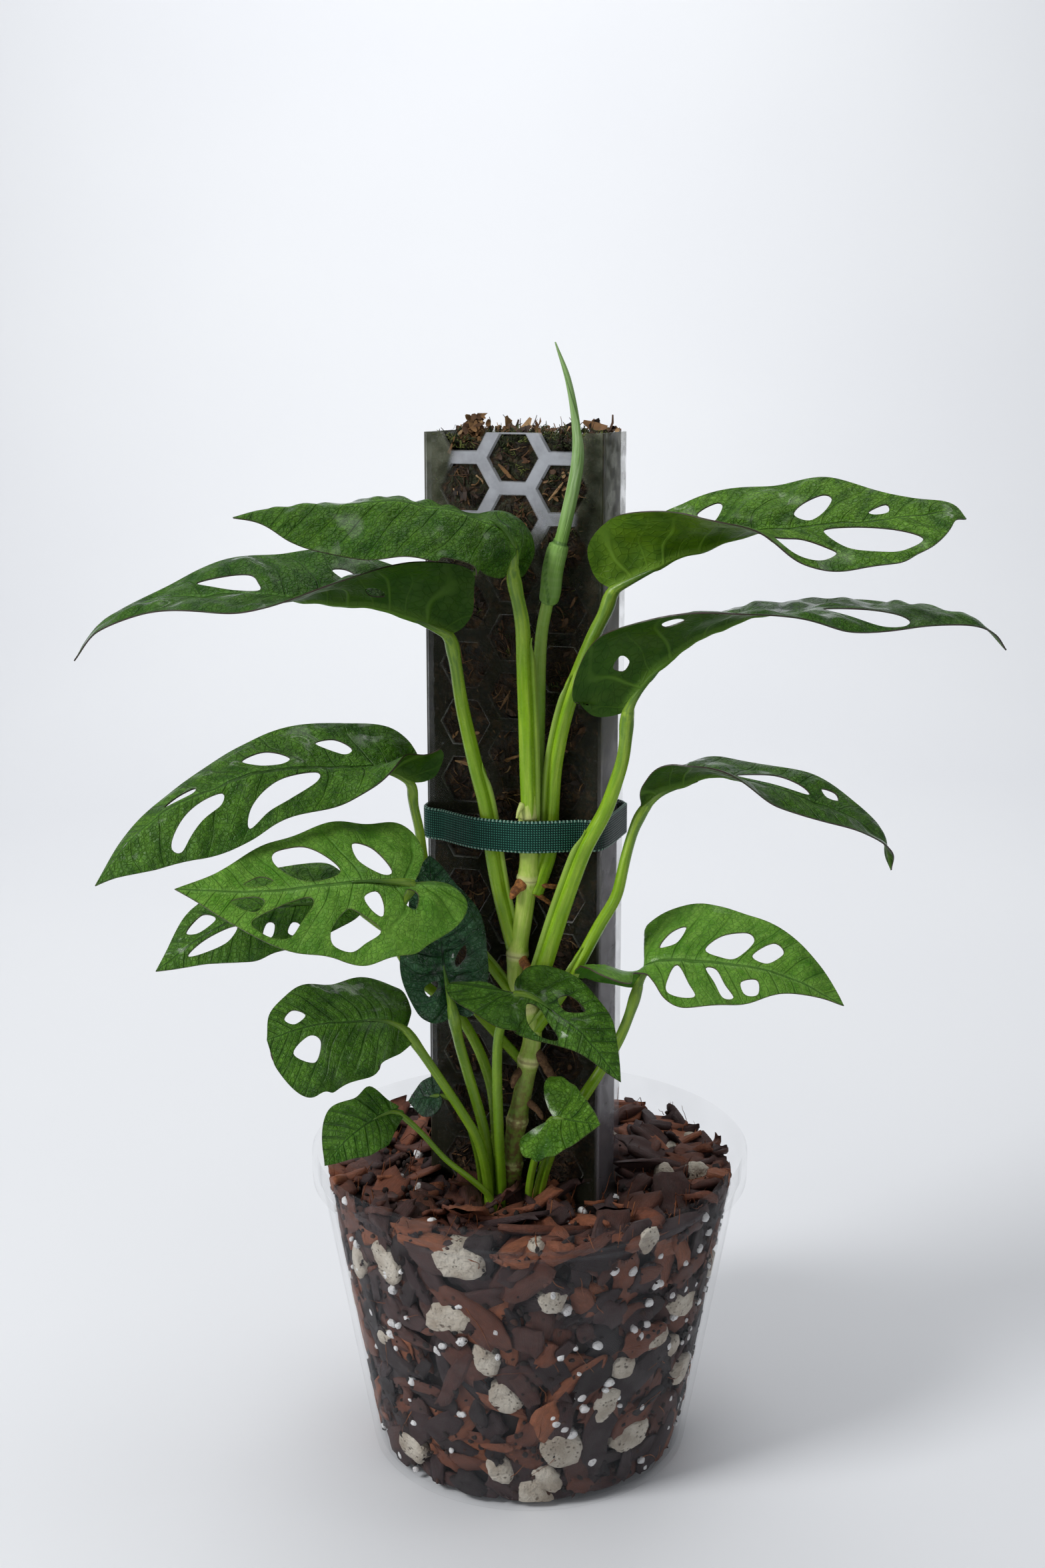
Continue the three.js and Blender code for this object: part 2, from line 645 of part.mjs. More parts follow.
function smoothLine(points, closed, spacing) {
  const vectors = points.map(([s, v]) => new THREE.Vector3(s, v, 0));
  const curve = new THREE.CatmullRomCurve3(vectors, closed, "catmullrom", 0.5);
  const pieces = Math.max(5, Math.round(curve.getLength() / spacing));
  const spaced = curve.getSpacedPoints(pieces).map((p) => [p.x, p.y]);
  return closed ? spaced.slice(0, -1) : spaced;
}

function isInside([x, y], ring) {
  let inside = false;
  for (let i = 0; i < ring.length; i += 1) {
    const [ax, ay] = ring[i];
    const [bx, by] = ring[(i + 1) % ring.length];
    if (ay > y !== by > y && x < ((bx - ax) * (y - ay)) / (by - ay) + ax) {
      inside = !inside;
    }
  }
  return inside;
}

function nearestGap([x, y], points) {
  return Math.min(...points.map(([a, b]) => Math.hypot(a - x, b - y)));
}

// A leaf blade of even thickness, cut to its outline and holes.
function blade(leaf) {
  const surface = bladeSurface(leaf);
  const mirrored = leaf.farEdge.map(([s, v]) => [s, -v]);
  const near = smoothLine([[0, 0], ...leaf.nearEdge, [surface.length, 0]], false, 6);
  const far = smoothLine([[0, 0], ...mirrored, [surface.length, 0]], false, 6);
  const outline = [...near, ...far.slice(1, -1).reverse()];
  const holes = leaf.holes.map((hole) => smoothLine(hole, true, 4.6));
  const edge = [...outline, ...holes.flat()];
  const points = [...edge];
  const grid = leaf.farEdge.length > 6 ? 11 : 7;
  const reach = 34;
  for (let s = grid / 2; s < surface.length - 3; s += grid) {
    for (let v = -Math.ceil(reach / grid) * grid; v <= reach; v += grid) {
      const spot = [s + (v === 0 ? 0 : 0.01 * v), v];
      const open = isInside(spot, outline) && !holes.some((hole) => isInside(spot, hole));
      if (open && nearestGap(spot, edge) > (v === 0 ? 2 : 3.6)) {
        points.push(spot);
      }
    }
  }
  const centre = (corners, axis) => corners.reduce((sum, i) => sum + points[i][axis], 0) / 3;
  const triangles = flatTriangles(points).filter((corners) => {
    const spot = [centre(corners, 0), centre(corners, 1)];
    return isInside(spot, outline) && !holes.some((hole) => isInside(spot, hole));
  });
  const vertices = [];
  for (const half of [0.5, -0.5]) {
    for (const [s, v] of points) {
      const alongS = surface.at(s + 0.5, v).sub(surface.at(s - 0.5, v));
      const alongV = surface.at(s, v + 0.5).sub(surface.at(s, v - 0.5));
      const normal = alongS.cross(alongV).normalize();
      const offset = normal.multiplyScalar(half * BLADE_THICKNESS);
      vertices.push(turned(surface.at(s, v).add(offset)));
    }
  }
  const faces = [];
  const open = new Map();
  for (const [a, b, c] of triangles) {
    faces.push([a, b, c], [a + points.length, c + points.length, b + points.length]);
    for (const [from, to] of [[a, b], [b, c], [c, a]]) {
      if (open.has(`${to},${from}`)) {
        open.delete(`${to},${from}`);
      } else {
        open.set(`${from},${to}`, [from, to]);
      }
    }
  }
  for (const [from, to] of open.values()) {
    const [low, lowNext] = [from + points.length, to + points.length];
    faces.push([to, from, low], [to, low, lowNext]);
  }
  return solidOf(closedBody(vertices, faces));
}

// Main stem, with its swollen nodes and the roots that grow from them.
const STEM_RADIUS = 3.8;
const NODE_SWELL = 1.1;
const NODE_REACH = 5;
const STEM_POINTS = [
  [-7, -27, 100], [-7, -27, 133], [-5, -28, 150], [-3, -29, 161], [-0.5, -30, 176],
  [1, -30, 187], [-0.5, -30.5, 198], [-5, -29, 208], [-5, -28.5, 219], [-3, -29, 233],
  [-1, -29, 248], [-0.5, -29.7, 257], [-0.5, -30, 276],
];
const STEM_NODES = [150, 176, 198, 219, 250];

const ROOTS = [
  { path: [[-4, -31, 247], [-9, -33, 246], [-12, -34, 248]], radii: [[0, 2.2], [1, 0.9]] },
  { path: [[0, -30, 249], [7, -29, 247], [12, -28, 244]], radii: [[0, 1.3], [1, 0.9]] },
  { path: [[0, -30, 243], [5, -28.5, 240], [9, -27.5, 237]], radii: [[0, 1.3], [1, 0.8]] },
  { path: [[-4, -30, 219], [-1, -34, 215], [1, -36, 212]], radii: [[0, 2.4], [1, 2]] },
  { path: [[1, -30, 181], [6, -31, 174], [12, -30.5, 164]], radii: [[0, 2.4], [1, 2]] },
  { path: [[-2, -30, 174], [-6, -34, 170], [-7, -35, 166]], radii: [[0, 2], [1, 1.4]] },
  { path: [[-3, -29, 160], [3, -33, 156], [5, -35, 153]], radii: [[0, 1.8], [1, 1.4]] },
];

// Radius along the stem, swelling at each node, as [place, radius].
function stemRadii(extra) {
  const foot = STEM_POINTS[0][2];
  const height = STEM_POINTS[STEM_POINTS.length - 1][2] - foot;
  const plain = STEM_RADIUS + extra;
  return STEM_NODES.flatMap((z) => [
    [(z - NODE_REACH - foot) / height, plain],
    [(z - foot) / height, plain + NODE_SWELL],
    [(z + NODE_REACH - foot) / height, plain],
  ]);
}

function stemBody(extra) {
  let body = stalk(STEM_POINTS, stemRadii(extra), 8, 5);
  for (const { path, radii } of ROOTS) {
    const grown = radii.map(([place, radius]) => [place, radius + extra]);
    body = body.add(stalk(path, grown, 5, 6));
  }
  return body;
}

// The rolled new leaf, a tight spike with an open fold at its foot, on its own short stalk.
const ROLLED_STALK = [
  [7, -30, 360], [4.5, -28, 347], [3.6, -27, 333], [3.2, -26.6, 307], [2.6, -27.5, 283],
  [0.8, -29.3, 272],
];
const ROLLED_BLADE = [
  [7, -30, 357], [8, -31, 362], [9, -32, 371], [13, -32.5, 388], [17, -33, 408],
  [17, -32, 422], [14, -31, 439], [9, -30, 453],
];
const ROLLED_RADII = [
  [0, 2.8], [0.05, 4.6], [0.13, 5], [0.22, 3.6], [0.45, 3.3], [0.7, 1.9], [1, 0.7],
];
const rolled = stalk(ROLLED_BLADE, ROLLED_RADII, 8, 9).add(stalk(ROLLED_STALK, [[0, 2.2], [1, 2.5]]));

// Stalks stop short of the stem and of every stalk placed before them.
let stalksSoFar = stemBody(CLEARANCE);
const holesInMix = [stemBody(CLEARANCE)];

function placeGrowth(name, body, look, guard) {
  const cut = largest(body.subtract(stalksSoFar));
  addPiece(name, geometryOf(cut), look);
  stalksSoFar = stalksSoFar.add(guard);
}

placeGrowth("leaf_rolled", rolled, "rolledLeaf", stalk(ROLLED_STALK, [[0, 2.5], [1, 2.8]]));
for (const leaf of LEAVES) {
  const surface = bladeSurface(leaf);
  const fatter = leaf.radii.map(([place, radius]) => [place, radius + CLEARANCE]);
  const guard = stalk(leaf.stalk, fatter);
  const top = leaf.radii[0][1];
  const foot = leaf.stalk.slice(0, 2);
  const rib = [0, 4, 10].map((s) => {
    const on = surface.at(s, 0);
    const near = surface.at(s, 3);
    const far = surface.at(s, -3);
    const lift = near.add(far).multiplyScalar(0.5).sub(on);
    return on.addScaledVector(lift.normalize(), s === 0 ? 0 : -0.6).toArray();
  });
  const joint = stalk([foot[1], foot[0], rib[1], rib[2]], [[0, top], [0.6, top * 0.9], [1, 0.6]], 6, 6);
  const body = blade(leaf).add(stalk(leaf.stalk, leaf.radii)).add(joint);
  placeGrowth(leaf.name, body, leaf.look, guard);
  if (leaf.stalk[leaf.stalk.length - 1][2] < MIX_TOP) {
    holesInMix.push(guard);
  }
}
addPiece("main_stem", geometryOf(stemBody(0)), "stem");

// Pole, seen from above: flat front, straight sides, rounded back.
function poleOutline(inset) {
  const half = POLE_WIDTH / 2 - inset;
  const back = POLE_FRONT_Y + POLE_SIDE_DEPTH;
  const bulge = POLE_DEPTH - POLE_SIDE_DEPTH - inset;
  const points = [new THREE.Vector2(-half, POLE_FRONT_Y + inset)];
  points.push(new THREE.Vector2(half, POLE_FRONT_Y + inset));
  for (let i = 0; i <= 10; i += 1) {
    const angle = (Math.PI * i) / 10;
    points.push(new THREE.Vector2(half * Math.cos(angle), back + bulge * Math.sin(angle)));
  }
  return points;
}

function upright(outline, bottom, top) {
  const geometry = new THREE.ExtrudeGeometry(new THREE.Shape(outline), {
    depth: top - bottom,
    bevelEnabled: false,
  });
  return solidOf(geometry.translate(0, 0, bottom));
}

const poleColumn = upright(poleOutline(0), POLE_BOTTOM, POLE_TOP);
const poleInside = upright(poleOutline(POLE_WALL), POLE_BOTTOM - 1, POLE_TOP + 1);
const frontSlot = POLE_FRONT_Y + POLE_WALL + CLEARANCE;
const inFront = new THREE.BoxGeometry(POLE_WIDTH + 2, 20, POLE_TOP + 20);
const shell = poleColumn
  .subtract(poleInside)
  .subtract(solidOf(inFront.translate(0, frontSlot - 10, POLE_TOP / 2)));
addPiece("pole_back_shell", geometryOf(shell), "clear");

// Block with a hexagonal face, flat at its top and bottom; tip is its front's share of its back.
function hexagon(x, z, acrossFlats, y, depth, tip = 1) {
  const corner = acrossFlats / Math.sqrt(3);
  const prism = new THREE.CylinderGeometry(corner, corner * tip, depth, 6, 1);
  prism.rotateY(Math.PI / 6);
  return solidOf(prism.translate(x, y, z));
}

const hexPlaces = [];
for (let row = 0; HEX_FIRST_Z + HEX_PITCH / 2 - (row * HEX_PITCH) / 2 > HEX_LAST_Z; row += 1) {
  const z = HEX_FIRST_Z + HEX_PITCH / 2 - (row * HEX_PITCH) / 2;
  const columns = row % 2 ? [0] : [-HEX_COLUMN_STEP, HEX_COLUMN_STEP];
  for (const x of columns) {
    hexPlaces.push([x, z]);
  }
}
const plate = new THREE.BoxGeometry(POLE_WIDTH, POLE_WALL, POLE_TOP - POLE_BOTTOM);
plate.translate(0, POLE_FRONT_Y + POLE_WALL / 2, (POLE_TOP + POLE_BOTTOM) / 2);
let panel = solidOf(plate);
for (const [x, z] of hexPlaces) {
  panel = panel.subtract(hexagon(x, z, HEX_ACROSS_FLATS, POLE_FRONT_Y + 1, 6));
}
addPiece("pole_front_panel", geometryOf(panel), "clear");

// Moss fill: a column inside the pole that swells a little into every hole, with a tufted top.
const mossTop = POLE_TOP - 5;
let moss = upright(poleOutline(POLE_WALL + CLEARANCE), POLE_BOTTOM, mossTop);
const PILLOW_DEPTH = 5.2;
let pillows = null;
for (const [x, z] of hexPlaces) {
  if (z < mossTop) {
    const middle = POLE_FRONT_Y + 0.2 + PILLOW_DEPTH / 2;
    const pillow = hexagon(x, z, HEX_ACROSS_FLATS - 0.8, middle, PILLOW_DEPTH, 0.72);
    pillows = pillows ? pillows.add(pillow) : pillow;
  }
}
moss = moss.add(pillows);
const TUFTS = 12;
const tuft = randomFrom(7);
for (let i = 0; i < TUFTS; i += 1) {
  const x = (POLE_WIDTH - 14) * ((i + 0.5) / TUFTS - 0.5);
  const y = -12 + 22 * tuft();
  const clump = new THREE.ConeGeometry(3.5 + 3 * tuft(), 9 + 12 * tuft(), 4);
  clump.rotateX(Math.PI / 2).rotateY(0.5 * (tuft() - 0.5));
  moss = moss.add(solidOf(clump.translate(x, y, mossTop + 2)));
}
moss = moss.intersect(upright(poleOutline(POLE_WALL + CLEARANCE), POLE_BOTTOM, POLE_TOP + 20).add(pillows));
addPiece("moss_core", geometryOf(largest(moss)), "moss");

// Strap: a closed band, drawn as the loop that it makes around the pole and three stems.
const LOOP = [
  [-36, -20], [-26, -25.5], [-16, -31], [-8, -33.9], [2, -34.4], [11, -33.4], [20, -29.3],
  [28, -24.4], [36, -20],
];
const backLoop = poleOutline(0).slice(2).map((p) => [p.x, p.y]);

function loopOutline(grow) {
  const ring = [...LOOP, ...backLoop];
  return ring.map(([x, y], i) => {
    const [px, py] = ring[(i + ring.length - 1) % ring.length];
    const [nx, ny] = ring[(i + 1) % ring.length];
    const before = new THREE.Vector2(y - py, px - x).normalize();
    const after = new THREE.Vector2(ny - y, x - nx).normalize();
    const out = before.clone().add(after).normalize();
    return new THREE.Vector2(x, y).addScaledVector(out, grow / Math.max(0.4, out.dot(after)));
  });
}

const band = upright(
  loopOutline(CLEARANCE + STRAP_THICKNESS),
  STRAP_MIDDLE_Z - STRAP_WIDTH / 2,
  STRAP_MIDDLE_Z + STRAP_WIDTH / 2,
);
const bandInside = upright(loopOutline(CLEARANCE), STRAP_MIDDLE_Z - 20, STRAP_MIDDLE_Z + 20);
addPiece("plant_strap", geometryOf(band.subtract(bandInside)), "strap");

// Pot.
const baseCorner = 1.5;
const shoulder = POT_HEIGHT - POT_RIM_BAND;
const potProfile = [
  [0, 0],
  [POT_BASE_RADIUS - baseCorner, 0],
  [POT_BASE_RADIUS, baseCorner],
  [POT_SHOULDER_RADIUS, shoulder],
  [POT_RIM_RADIUS, shoulder],
  [POT_RIM_RADIUS, POT_HEIGHT],
  [POT_RIM_RADIUS - POT_WALL, POT_HEIGHT],
  [POT_RIM_RADIUS - POT_WALL, shoulder + POT_WALL],
  [POT_SHOULDER_RADIUS - POT_WALL, shoulder + POT_WALL],
  [POT_BASE_RADIUS - POT_WALL, POT_FLOOR],
  [0, POT_FLOOR],
].map(([x, y]) => new THREE.Vector2(x, y));
let pot = solidOf(new THREE.LatheGeometry(potProfile, POT_SIDES).rotateX(Math.PI / 2));
for (let i = 0; i < DRAIN_COUNT; i += 1) {
  const angle = (2 * Math.PI * (i + 0.5)) / DRAIN_COUNT;
  const drain = new THREE.CylinderGeometry(DRAIN_RADIUS, DRAIN_RADIUS, 20, 10);
  drain.rotateX(Math.PI / 2);
  drain.translate(DRAIN_CIRCLE * Math.cos(angle), DRAIN_CIRCLE * Math.sin(angle), 0);
  pot = pot.subtract(solidOf(drain));
}
addPiece("pot", geometryOf(pot), "clear");

// Growing mix: fills the pot, with bark chips and pumice lumps standing out of its top.
function mixRadius(z) {
  const rise = (z - POT_FLOOR) / (shoulder + POT_WALL - POT_FLOOR);
  const inside = POT_BASE_RADIUS - POT_WALL - CLEARANCE;
  return inside + (POT_SHOULDER_RADIUS - POT_BASE_RADIUS) * rise;
}

function mixColumn(top) {
  const bottom = POT_FLOOR + CLEARANCE;
  const profile = [[0, bottom], [mixRadius(bottom), bottom], [mixRadius(top), top], [0, top]];
  const vectors = profile.map(([x, y]) => new THREE.Vector2(x, y));
  return solidOf(new THREE.LatheGeometry(vectors, POT_SIDES).rotateX(Math.PI / 2));
}

let mix = mixColumn(MIX_TOP);
const scatter = randomFrom(20);
let lumps = null;
for (let i = 0; i < BARK_CHIPS + PUMICE_LUMPS; i += 1) {
  const out = mixRadius(MIX_TOP) * Math.sqrt((i + 0.5) / (BARK_CHIPS + PUMICE_LUMPS)) - 2;
  const angle = i * 2.39996 + 0.5 * scatter();
  const bark = i % 5 !== 2;
  const long = bark ? 14 + 16 * scatter() : 7 + 5 * scatter();
  const lump = bark
    ? new THREE.BoxGeometry(long, 7 + 6 * scatter(), 3 + 3 * scatter())
    : new THREE.OctahedronGeometry(long, 0);
  lump.rotateX(0.7 * (scatter() - 0.5)).rotateY(0.6 * (scatter() - 0.5));
  lump.rotateZ(6.28 * scatter());
  const place = [out * Math.cos(angle), out * Math.sin(angle)];
  lump.translate(...place, MIX_TOP + (bark ? 0.6 + 1.6 * scatter() : -2.5));
  lumps = lumps ? lumps.add(solidOf(lump)) : solidOf(lump);
}
mix = mix.add(lumps.intersect(mixColumn(MIX_TOP + 12)));
mix = mix.subtract(upright(poleOutline(-CLEARANCE), POLE_BOTTOM - CLEARANCE, MIX_TOP + 40));
for (const hole of holesInMix) {
  mix = mix.subtract(hole);
}
addPiece("growing_mix", geometryOf(largest(mix)), "mix");

export default plant;
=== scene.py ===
# A swiss cheese vine on a moss-filled pole in a clear pot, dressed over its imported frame.
# Sizes are in millimetres until a mesh is made; meshes are in metres.
import math
import random
import bmesh
import bpy
import numpy as np
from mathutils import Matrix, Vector, geometry, noise


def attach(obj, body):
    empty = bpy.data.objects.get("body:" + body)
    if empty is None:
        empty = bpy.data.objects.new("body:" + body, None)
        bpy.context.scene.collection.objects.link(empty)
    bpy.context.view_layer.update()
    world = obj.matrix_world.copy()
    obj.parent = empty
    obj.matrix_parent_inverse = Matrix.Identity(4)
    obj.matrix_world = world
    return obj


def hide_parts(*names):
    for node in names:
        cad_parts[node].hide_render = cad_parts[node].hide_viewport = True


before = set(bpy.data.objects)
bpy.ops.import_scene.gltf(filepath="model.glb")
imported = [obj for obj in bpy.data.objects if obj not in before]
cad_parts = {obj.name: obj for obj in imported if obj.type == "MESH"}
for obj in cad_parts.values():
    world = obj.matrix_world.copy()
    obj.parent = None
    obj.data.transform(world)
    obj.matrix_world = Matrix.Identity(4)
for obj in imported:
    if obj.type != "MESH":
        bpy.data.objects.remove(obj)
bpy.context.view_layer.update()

mm = 0.001
shootTurn = math.radians(20)   # the leaves spread in a plane turned this far from the pole's front
# point attributes
placeName = "growthPlace"      # along, across or round, and a margin, height or radius
veinName = "growthVein"        # on blades: vein count, spacing and rib width; on stems: distances
# on leaves the tint is a painted shade that darkens the whole top
tintName = "growthTint"        # a shade for each small part or leaf


# Lines and surfaces

# Rows of coordinates out of columns or single numbers
def stacked(*columns):
    return np.stack(np.broadcast_arrays(*columns), -1)


def turned(points):
    cosine, sine = math.cos(shootTurn), math.sin(shootTurn)
    x, y, z = points.T
    return stacked(x * cosine - y * sine, x * sine + y * cosine, z)


def unit(vectors):
    return vectors / np.maximum(np.linalg.norm(vectors, axis=-1, keepdims=True), 1e-9)


def smoothstep(low, high, value):
    share = np.clip((value - low) / (high - low), 0, 1)
    return share * share * (3 - 2 * share)


def readOff(place, at, values):
    return np.stack([np.interp(place, at, column) for column in values.T], -1)


# A table's values at a place; its first column holds the places
def valueAt(keys, place):
    keys = np.asarray(keys, float)
    return readOff(place, keys[:, 0], keys[:, 1:])


def noiseAt(x, y, z):
    return np.array([noise.noise(Vector(p)) for p in stacked(x, y, z).reshape(-1, 3).tolist()])


def smoothLine(points, closed=False, fineness=24):
    points = np.asarray(points, float)
    if closed:
        ends = np.vstack([points[-1:], points, points[:2]])
    else:
        ends = np.vstack([2 * points[0] - points[1], points, 2 * points[-1] - points[-2]])
    t = np.linspace(0, 1, fineness, endpoint=False)[:, None]
    runs = [
        0.5 * (2 * b + (c - a) * t + (2 * a - 5 * b + 4 * c - d) * t**2 + (3 * b - a - 3 * c + d) * t**3)
        for a, b, c, d in zip(ends, ends[1:], ends[2:], ends[3:])
    ]
    return np.vstack(runs + [ends[-2][None]])


def runOf(line):
    return np.concatenate([[0], np.cumsum(np.linalg.norm(np.diff(line, axis=0), axis=1))])


def spaced(line, spacing):
    run = runOf(line)
    count = max(4, round(run[-1] / spacing))
    return readOff(np.linspace(0, run[-1], count + 1), run, line)


def insideRing(points, ring):
    x, y = points[:, 0, None], points[:, 1, None]
    ax, ay = ring[:, 0], ring[:, 1]
    bx, by = np.roll(ax, -1), np.roll(ay, -1)
    spans = (ay > y) != (by > y)
    slope = np.where(by == ay, 1, by - ay)
    hits = spans & (x < (bx - ax) * (y - ay) / slope + ax)
    return hits.sum(axis=1) % 2 == 1


def onSheet(points, outline, holes):
    kept = insideRing(points, outline)
    for hole in holes:
        kept &= ~insideRing(points, hole)
    return kept


def gapTo(points, edge):
    return np.array([np.sqrt(((edge - p) ** 2).sum(axis=1).min()) for p in points])


# Flat triangles over an outline with holes; returns the points, the triangles and the open edges
def flatSheet(outline, holes, inner):
    rings = [outline] + holes
    edges, start = [], 0
    for ring in rings:
        edges += [(start + i, start + (i + 1) % len(ring)) for i in range(len(ring))]
        start += len(ring)
    flat = [Vector(p) for p in np.vstack(rings + [inner]).tolist()]
    made = geometry.delaunay_2d_cdt(flat, edges, [], 0, 1e-4)
    points = np.array([tuple(p) for p in made[0]])
    triangles = np.array(made[2])
    triangles = triangles[onSheet(points[triangles].mean(axis=1), outline, holes)]
    a, b, c = (points[triangles[:, k]] for k in range(3))
    turn = (b[:, 0] - a[:, 0]) * (c[:, 1] - a[:, 1]) - (b[:, 1] - a[:, 1]) * (c[:, 0] - a[:, 0])
    triangles[turn < 0] = triangles[turn < 0][:, ::-1]
    pairs = np.vstack([triangles[:, [0, 1]], triangles[:, [1, 2]], triangles[:, [2, 0]]]).tolist()
    known = set(map(tuple, pairs))
    return points, triangles, np.array([p for p in pairs if (p[1], p[0]) not in known])


# Meshes. A part is a dictionary of points, faces and, where its material reads them, places,
# veins, a tint and the number of its material; sharp holds the pairs of points of its hard edges.

def part(points, faces, places=None, veins=None, tint=0.5, look=0, sharp=None):
    return dict(points=np.asarray(points, float), faces=faces, places=places, veins=veins,
                tint=tint, look=look, sharp=sharp)


# Gives a part zeros to write its veins into
def blankVeins(made):
    made["veins"] = np.zeros((len(made["points"]), 3))
    return made["veins"]


def makePiece(name, parts, materials, node, smooth=True):
    points = np.vstack([p["points"] for p in parts]) * mm
    faces, looks, sharp, start = [], [], [], 0
    for p in parts:
        for group in p["faces"]:
            faces += (np.asarray(group) + start).tolist()
        looks += list(np.broadcast_to(p["look"], sum(len(group) for group in p["faces"])))
        if p["sharp"] is not None:
            sharp.append(p["sharp"] + start)
        start += len(p["points"])
    mesh = bpy.data.meshes.new(name)
    mesh.from_pydata(points.tolist(), [], faces)
    mesh.update(calc_edges=True)
    for title, key in ((placeName, "places"), (veinName, "veins")):
        if parts[0][key] is not None:
            made = mesh.attributes.new(title, "FLOAT_VECTOR", "POINT")
            made.data.foreach_set("vector", np.vstack([p[key] for p in parts]).ravel())
    tints = np.concatenate([np.broadcast_to(p["tint"], len(p["points"])) for p in parts])
    mesh.attributes.new(tintName, "FLOAT", "POINT").data.foreach_set("value", tints.astype(float))
    mesh.polygons.foreach_set("material_index", np.array(looks, int))
    mesh.polygons.foreach_set("use_smooth", np.full(len(faces), smooth))
    if sharp:
        wanted = {tuple(sorted(pair)) for pair in np.vstack(sharp).tolist()}
        ends = np.zeros(len(mesh.edges) * 2, int)
        mesh.edges.foreach_get("vertices", ends)
        marks = [tuple(sorted(pair)) in wanted for pair in ends.reshape(-1, 2).tolist()]
        mesh.attributes.new("sharp_edge", "BOOLEAN", "EDGE").data.foreach_set("value", marks)
    for material in materials:
        mesh.materials.append(material)
    piece = addObject(name, mesh)
    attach(piece, "root")
    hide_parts(node)


def addObject(name, data):
    added = bpy.data.objects.new(name, data)
    bpy.context.scene.collection.objects.link(added)
    return added


# Quads over a grid of points, rows by columns
def gridFaces(rows, columns, closed=False):
    i, k = np.meshgrid(np.arange(rows - 1), np.arange(columns if closed else columns - 1), indexing="ij")
    here, after = (i * columns).ravel(), (k.ravel() + 1) % columns
    return stacked(here + k.ravel(), here + after, here + columns + after, here + columns + k.ravel())


# Triangles from the first and the last ring of a grid to the two end points that follow it
def endFaces(rows, columns):
    around = np.arange(columns)
    after = (around + 1) % columns
    count, last = rows * columns, (rows - 1) * columns
    return np.vstack([stacked(after, around, count), stacked(last + around, last + after, count + 1)])


# Directions square to a line, that start at a facing and turn no more than they must
def carried(line, facing):
    along = unit(np.gradient(line, axis=0))
    out, outs = np.asarray(facing, float), []
    for direction in along:
        out = unit(out - direction * out.dot(direction))
        outs.append(out)
    return np.array(outs), np.cross(along, outs)


# A tube along a line of points, with a radius at each; section gives its outline's share of the
# radius from the distance along and the angle from the facing side
def tube(line, radius, sides=14, facing=(0, -1, 0), section=None, look=0, tint=0.5):
    outs, across = carried(line, facing)
    angles = np.arange(sides) / sides * math.tau
    run = runOf(line)
    reach = np.asarray(radius, float)[:, None] * np.ones(sides)
    if section:
        reach = reach * section(run[:, None], angles[None, :])
    rings = line[:, None] + reach[..., None] * (
        outs[:, None] * np.cos(angles)[:, None] + across[:, None] * np.sin(angles)[:, None])
    places = np.vstack([
        stacked(np.repeat(run, sides), np.tile(angles, len(line)), np.repeat(radius, sides)),
        [run[0], 0, radius[0]], [run[-1], 0, radius[-1]]])
    return part(np.vstack([rings.reshape(-1, 3), line[:1], line[-1:]]),
                [gridFaces(len(line), sides, closed=True), endFaces(len(line), sides)],
                places=places, tint=tint, look=look)


# Materials. A tone is a node's output or three numbers from 0 to 255.

def colour(red, green, blue):
    channels = [c / 255 for c in (red, green, blue)]
    return tuple(c / 12.92 if c <= 0.04045 else ((c + 0.055) / 1.055) ** 2.4 for c in channels) + (1,)


def feed(tree, socket, value):
    if isinstance(value, bpy.types.NodeSocket):
        tree.links.new(value, socket)
    elif socket.type == "RGBA":
        socket.default_value = colour(*value)
    else:
        socket.default_value = value


def addNode(tree, kind, inputs={}, **settings):
    node = tree.nodes.new(kind)
    for key, value in settings.items():
        setattr(node, key, value)
    for key, value in inputs.items():
        feed(tree, node.inputs[key], value)
    return node


# A node in the tree that its inputs come from
def follow(kind, inputs, **settings):
    inputs = dict(inputs)
    tree = next(value.id_data for value in inputs.values() if isinstance(value, bpy.types.NodeSocket))
    return addNode(tree, kind, inputs, **settings).outputs


def maths(operation, *values):
    return follow("ShaderNodeMath", enumerate(values), operation=operation)[0]


def times(mask, strength):
    return maths("MULTIPLY", mask, strength)


def vectorMaths(operation, *values):
    return follow("ShaderNodeVectorMath", enumerate(values), operation=operation)[0]


def blend(share, low, high):
    return follow("ShaderNodeMix", {0: share, 6: low, 7: high}, data_type="RGBA")[2]


# Lays tones over a base, one after the other: each row has a mask, its strength and a tone
def paint(base, *layers):
    for mask, strength, tone in layers:
        base = blend(times(mask, strength), base, tone)
    return base


def between(value, low, high, atLow=0.0, atHigh=1.0):
    return follow("ShaderNodeMapRange", {0: value, 1: low, 2: high, 3: atLow, 4: atHigh},
                  interpolation_type="SMOOTHSTEP")[0]


def fading(value, low, high):
    return between(value, low, high, 1.0, 0.0)


def ranged(mask, low, high):
    return between(mask, 0.0, 1.0, low, high)


def noiseShade(vector, scale, detail, roughness=0.5):
    return follow("ShaderNodeTexNoise", {
        "Vector": vector, "Scale": scale, "Detail": detail, "Roughness": roughness})["Fac"]


def noiseMask(vector, scale, detail, low, high):
    return between(noiseShade(vector, scale, detail, 0.55), low, high)


def attribute(tree, name, output="Vector"):
    return addNode(tree, "ShaderNodeAttribute", attribute_name=name).outputs[output]


def objectPlace(tree):
    return addNode(tree, "ShaderNodeTexCoord").outputs["Object"]


def axes(vector):
    return follow("ShaderNodeSeparateXYZ", {0: vector})


def newGroup(name, **inputs):
    group = bpy.data.node_groups.new(name, "ShaderNodeTree")
    for title, value in inputs.items():
        kind = "NodeSocketVector" if value is None else "NodeSocketFloat"
        socket = group.interface.new_socket(title, in_out="INPUT", socket_type=kind)
        if value is not None:
            socket.default_value = value
    return group, addNode(group, "NodeGroupInput").outputs


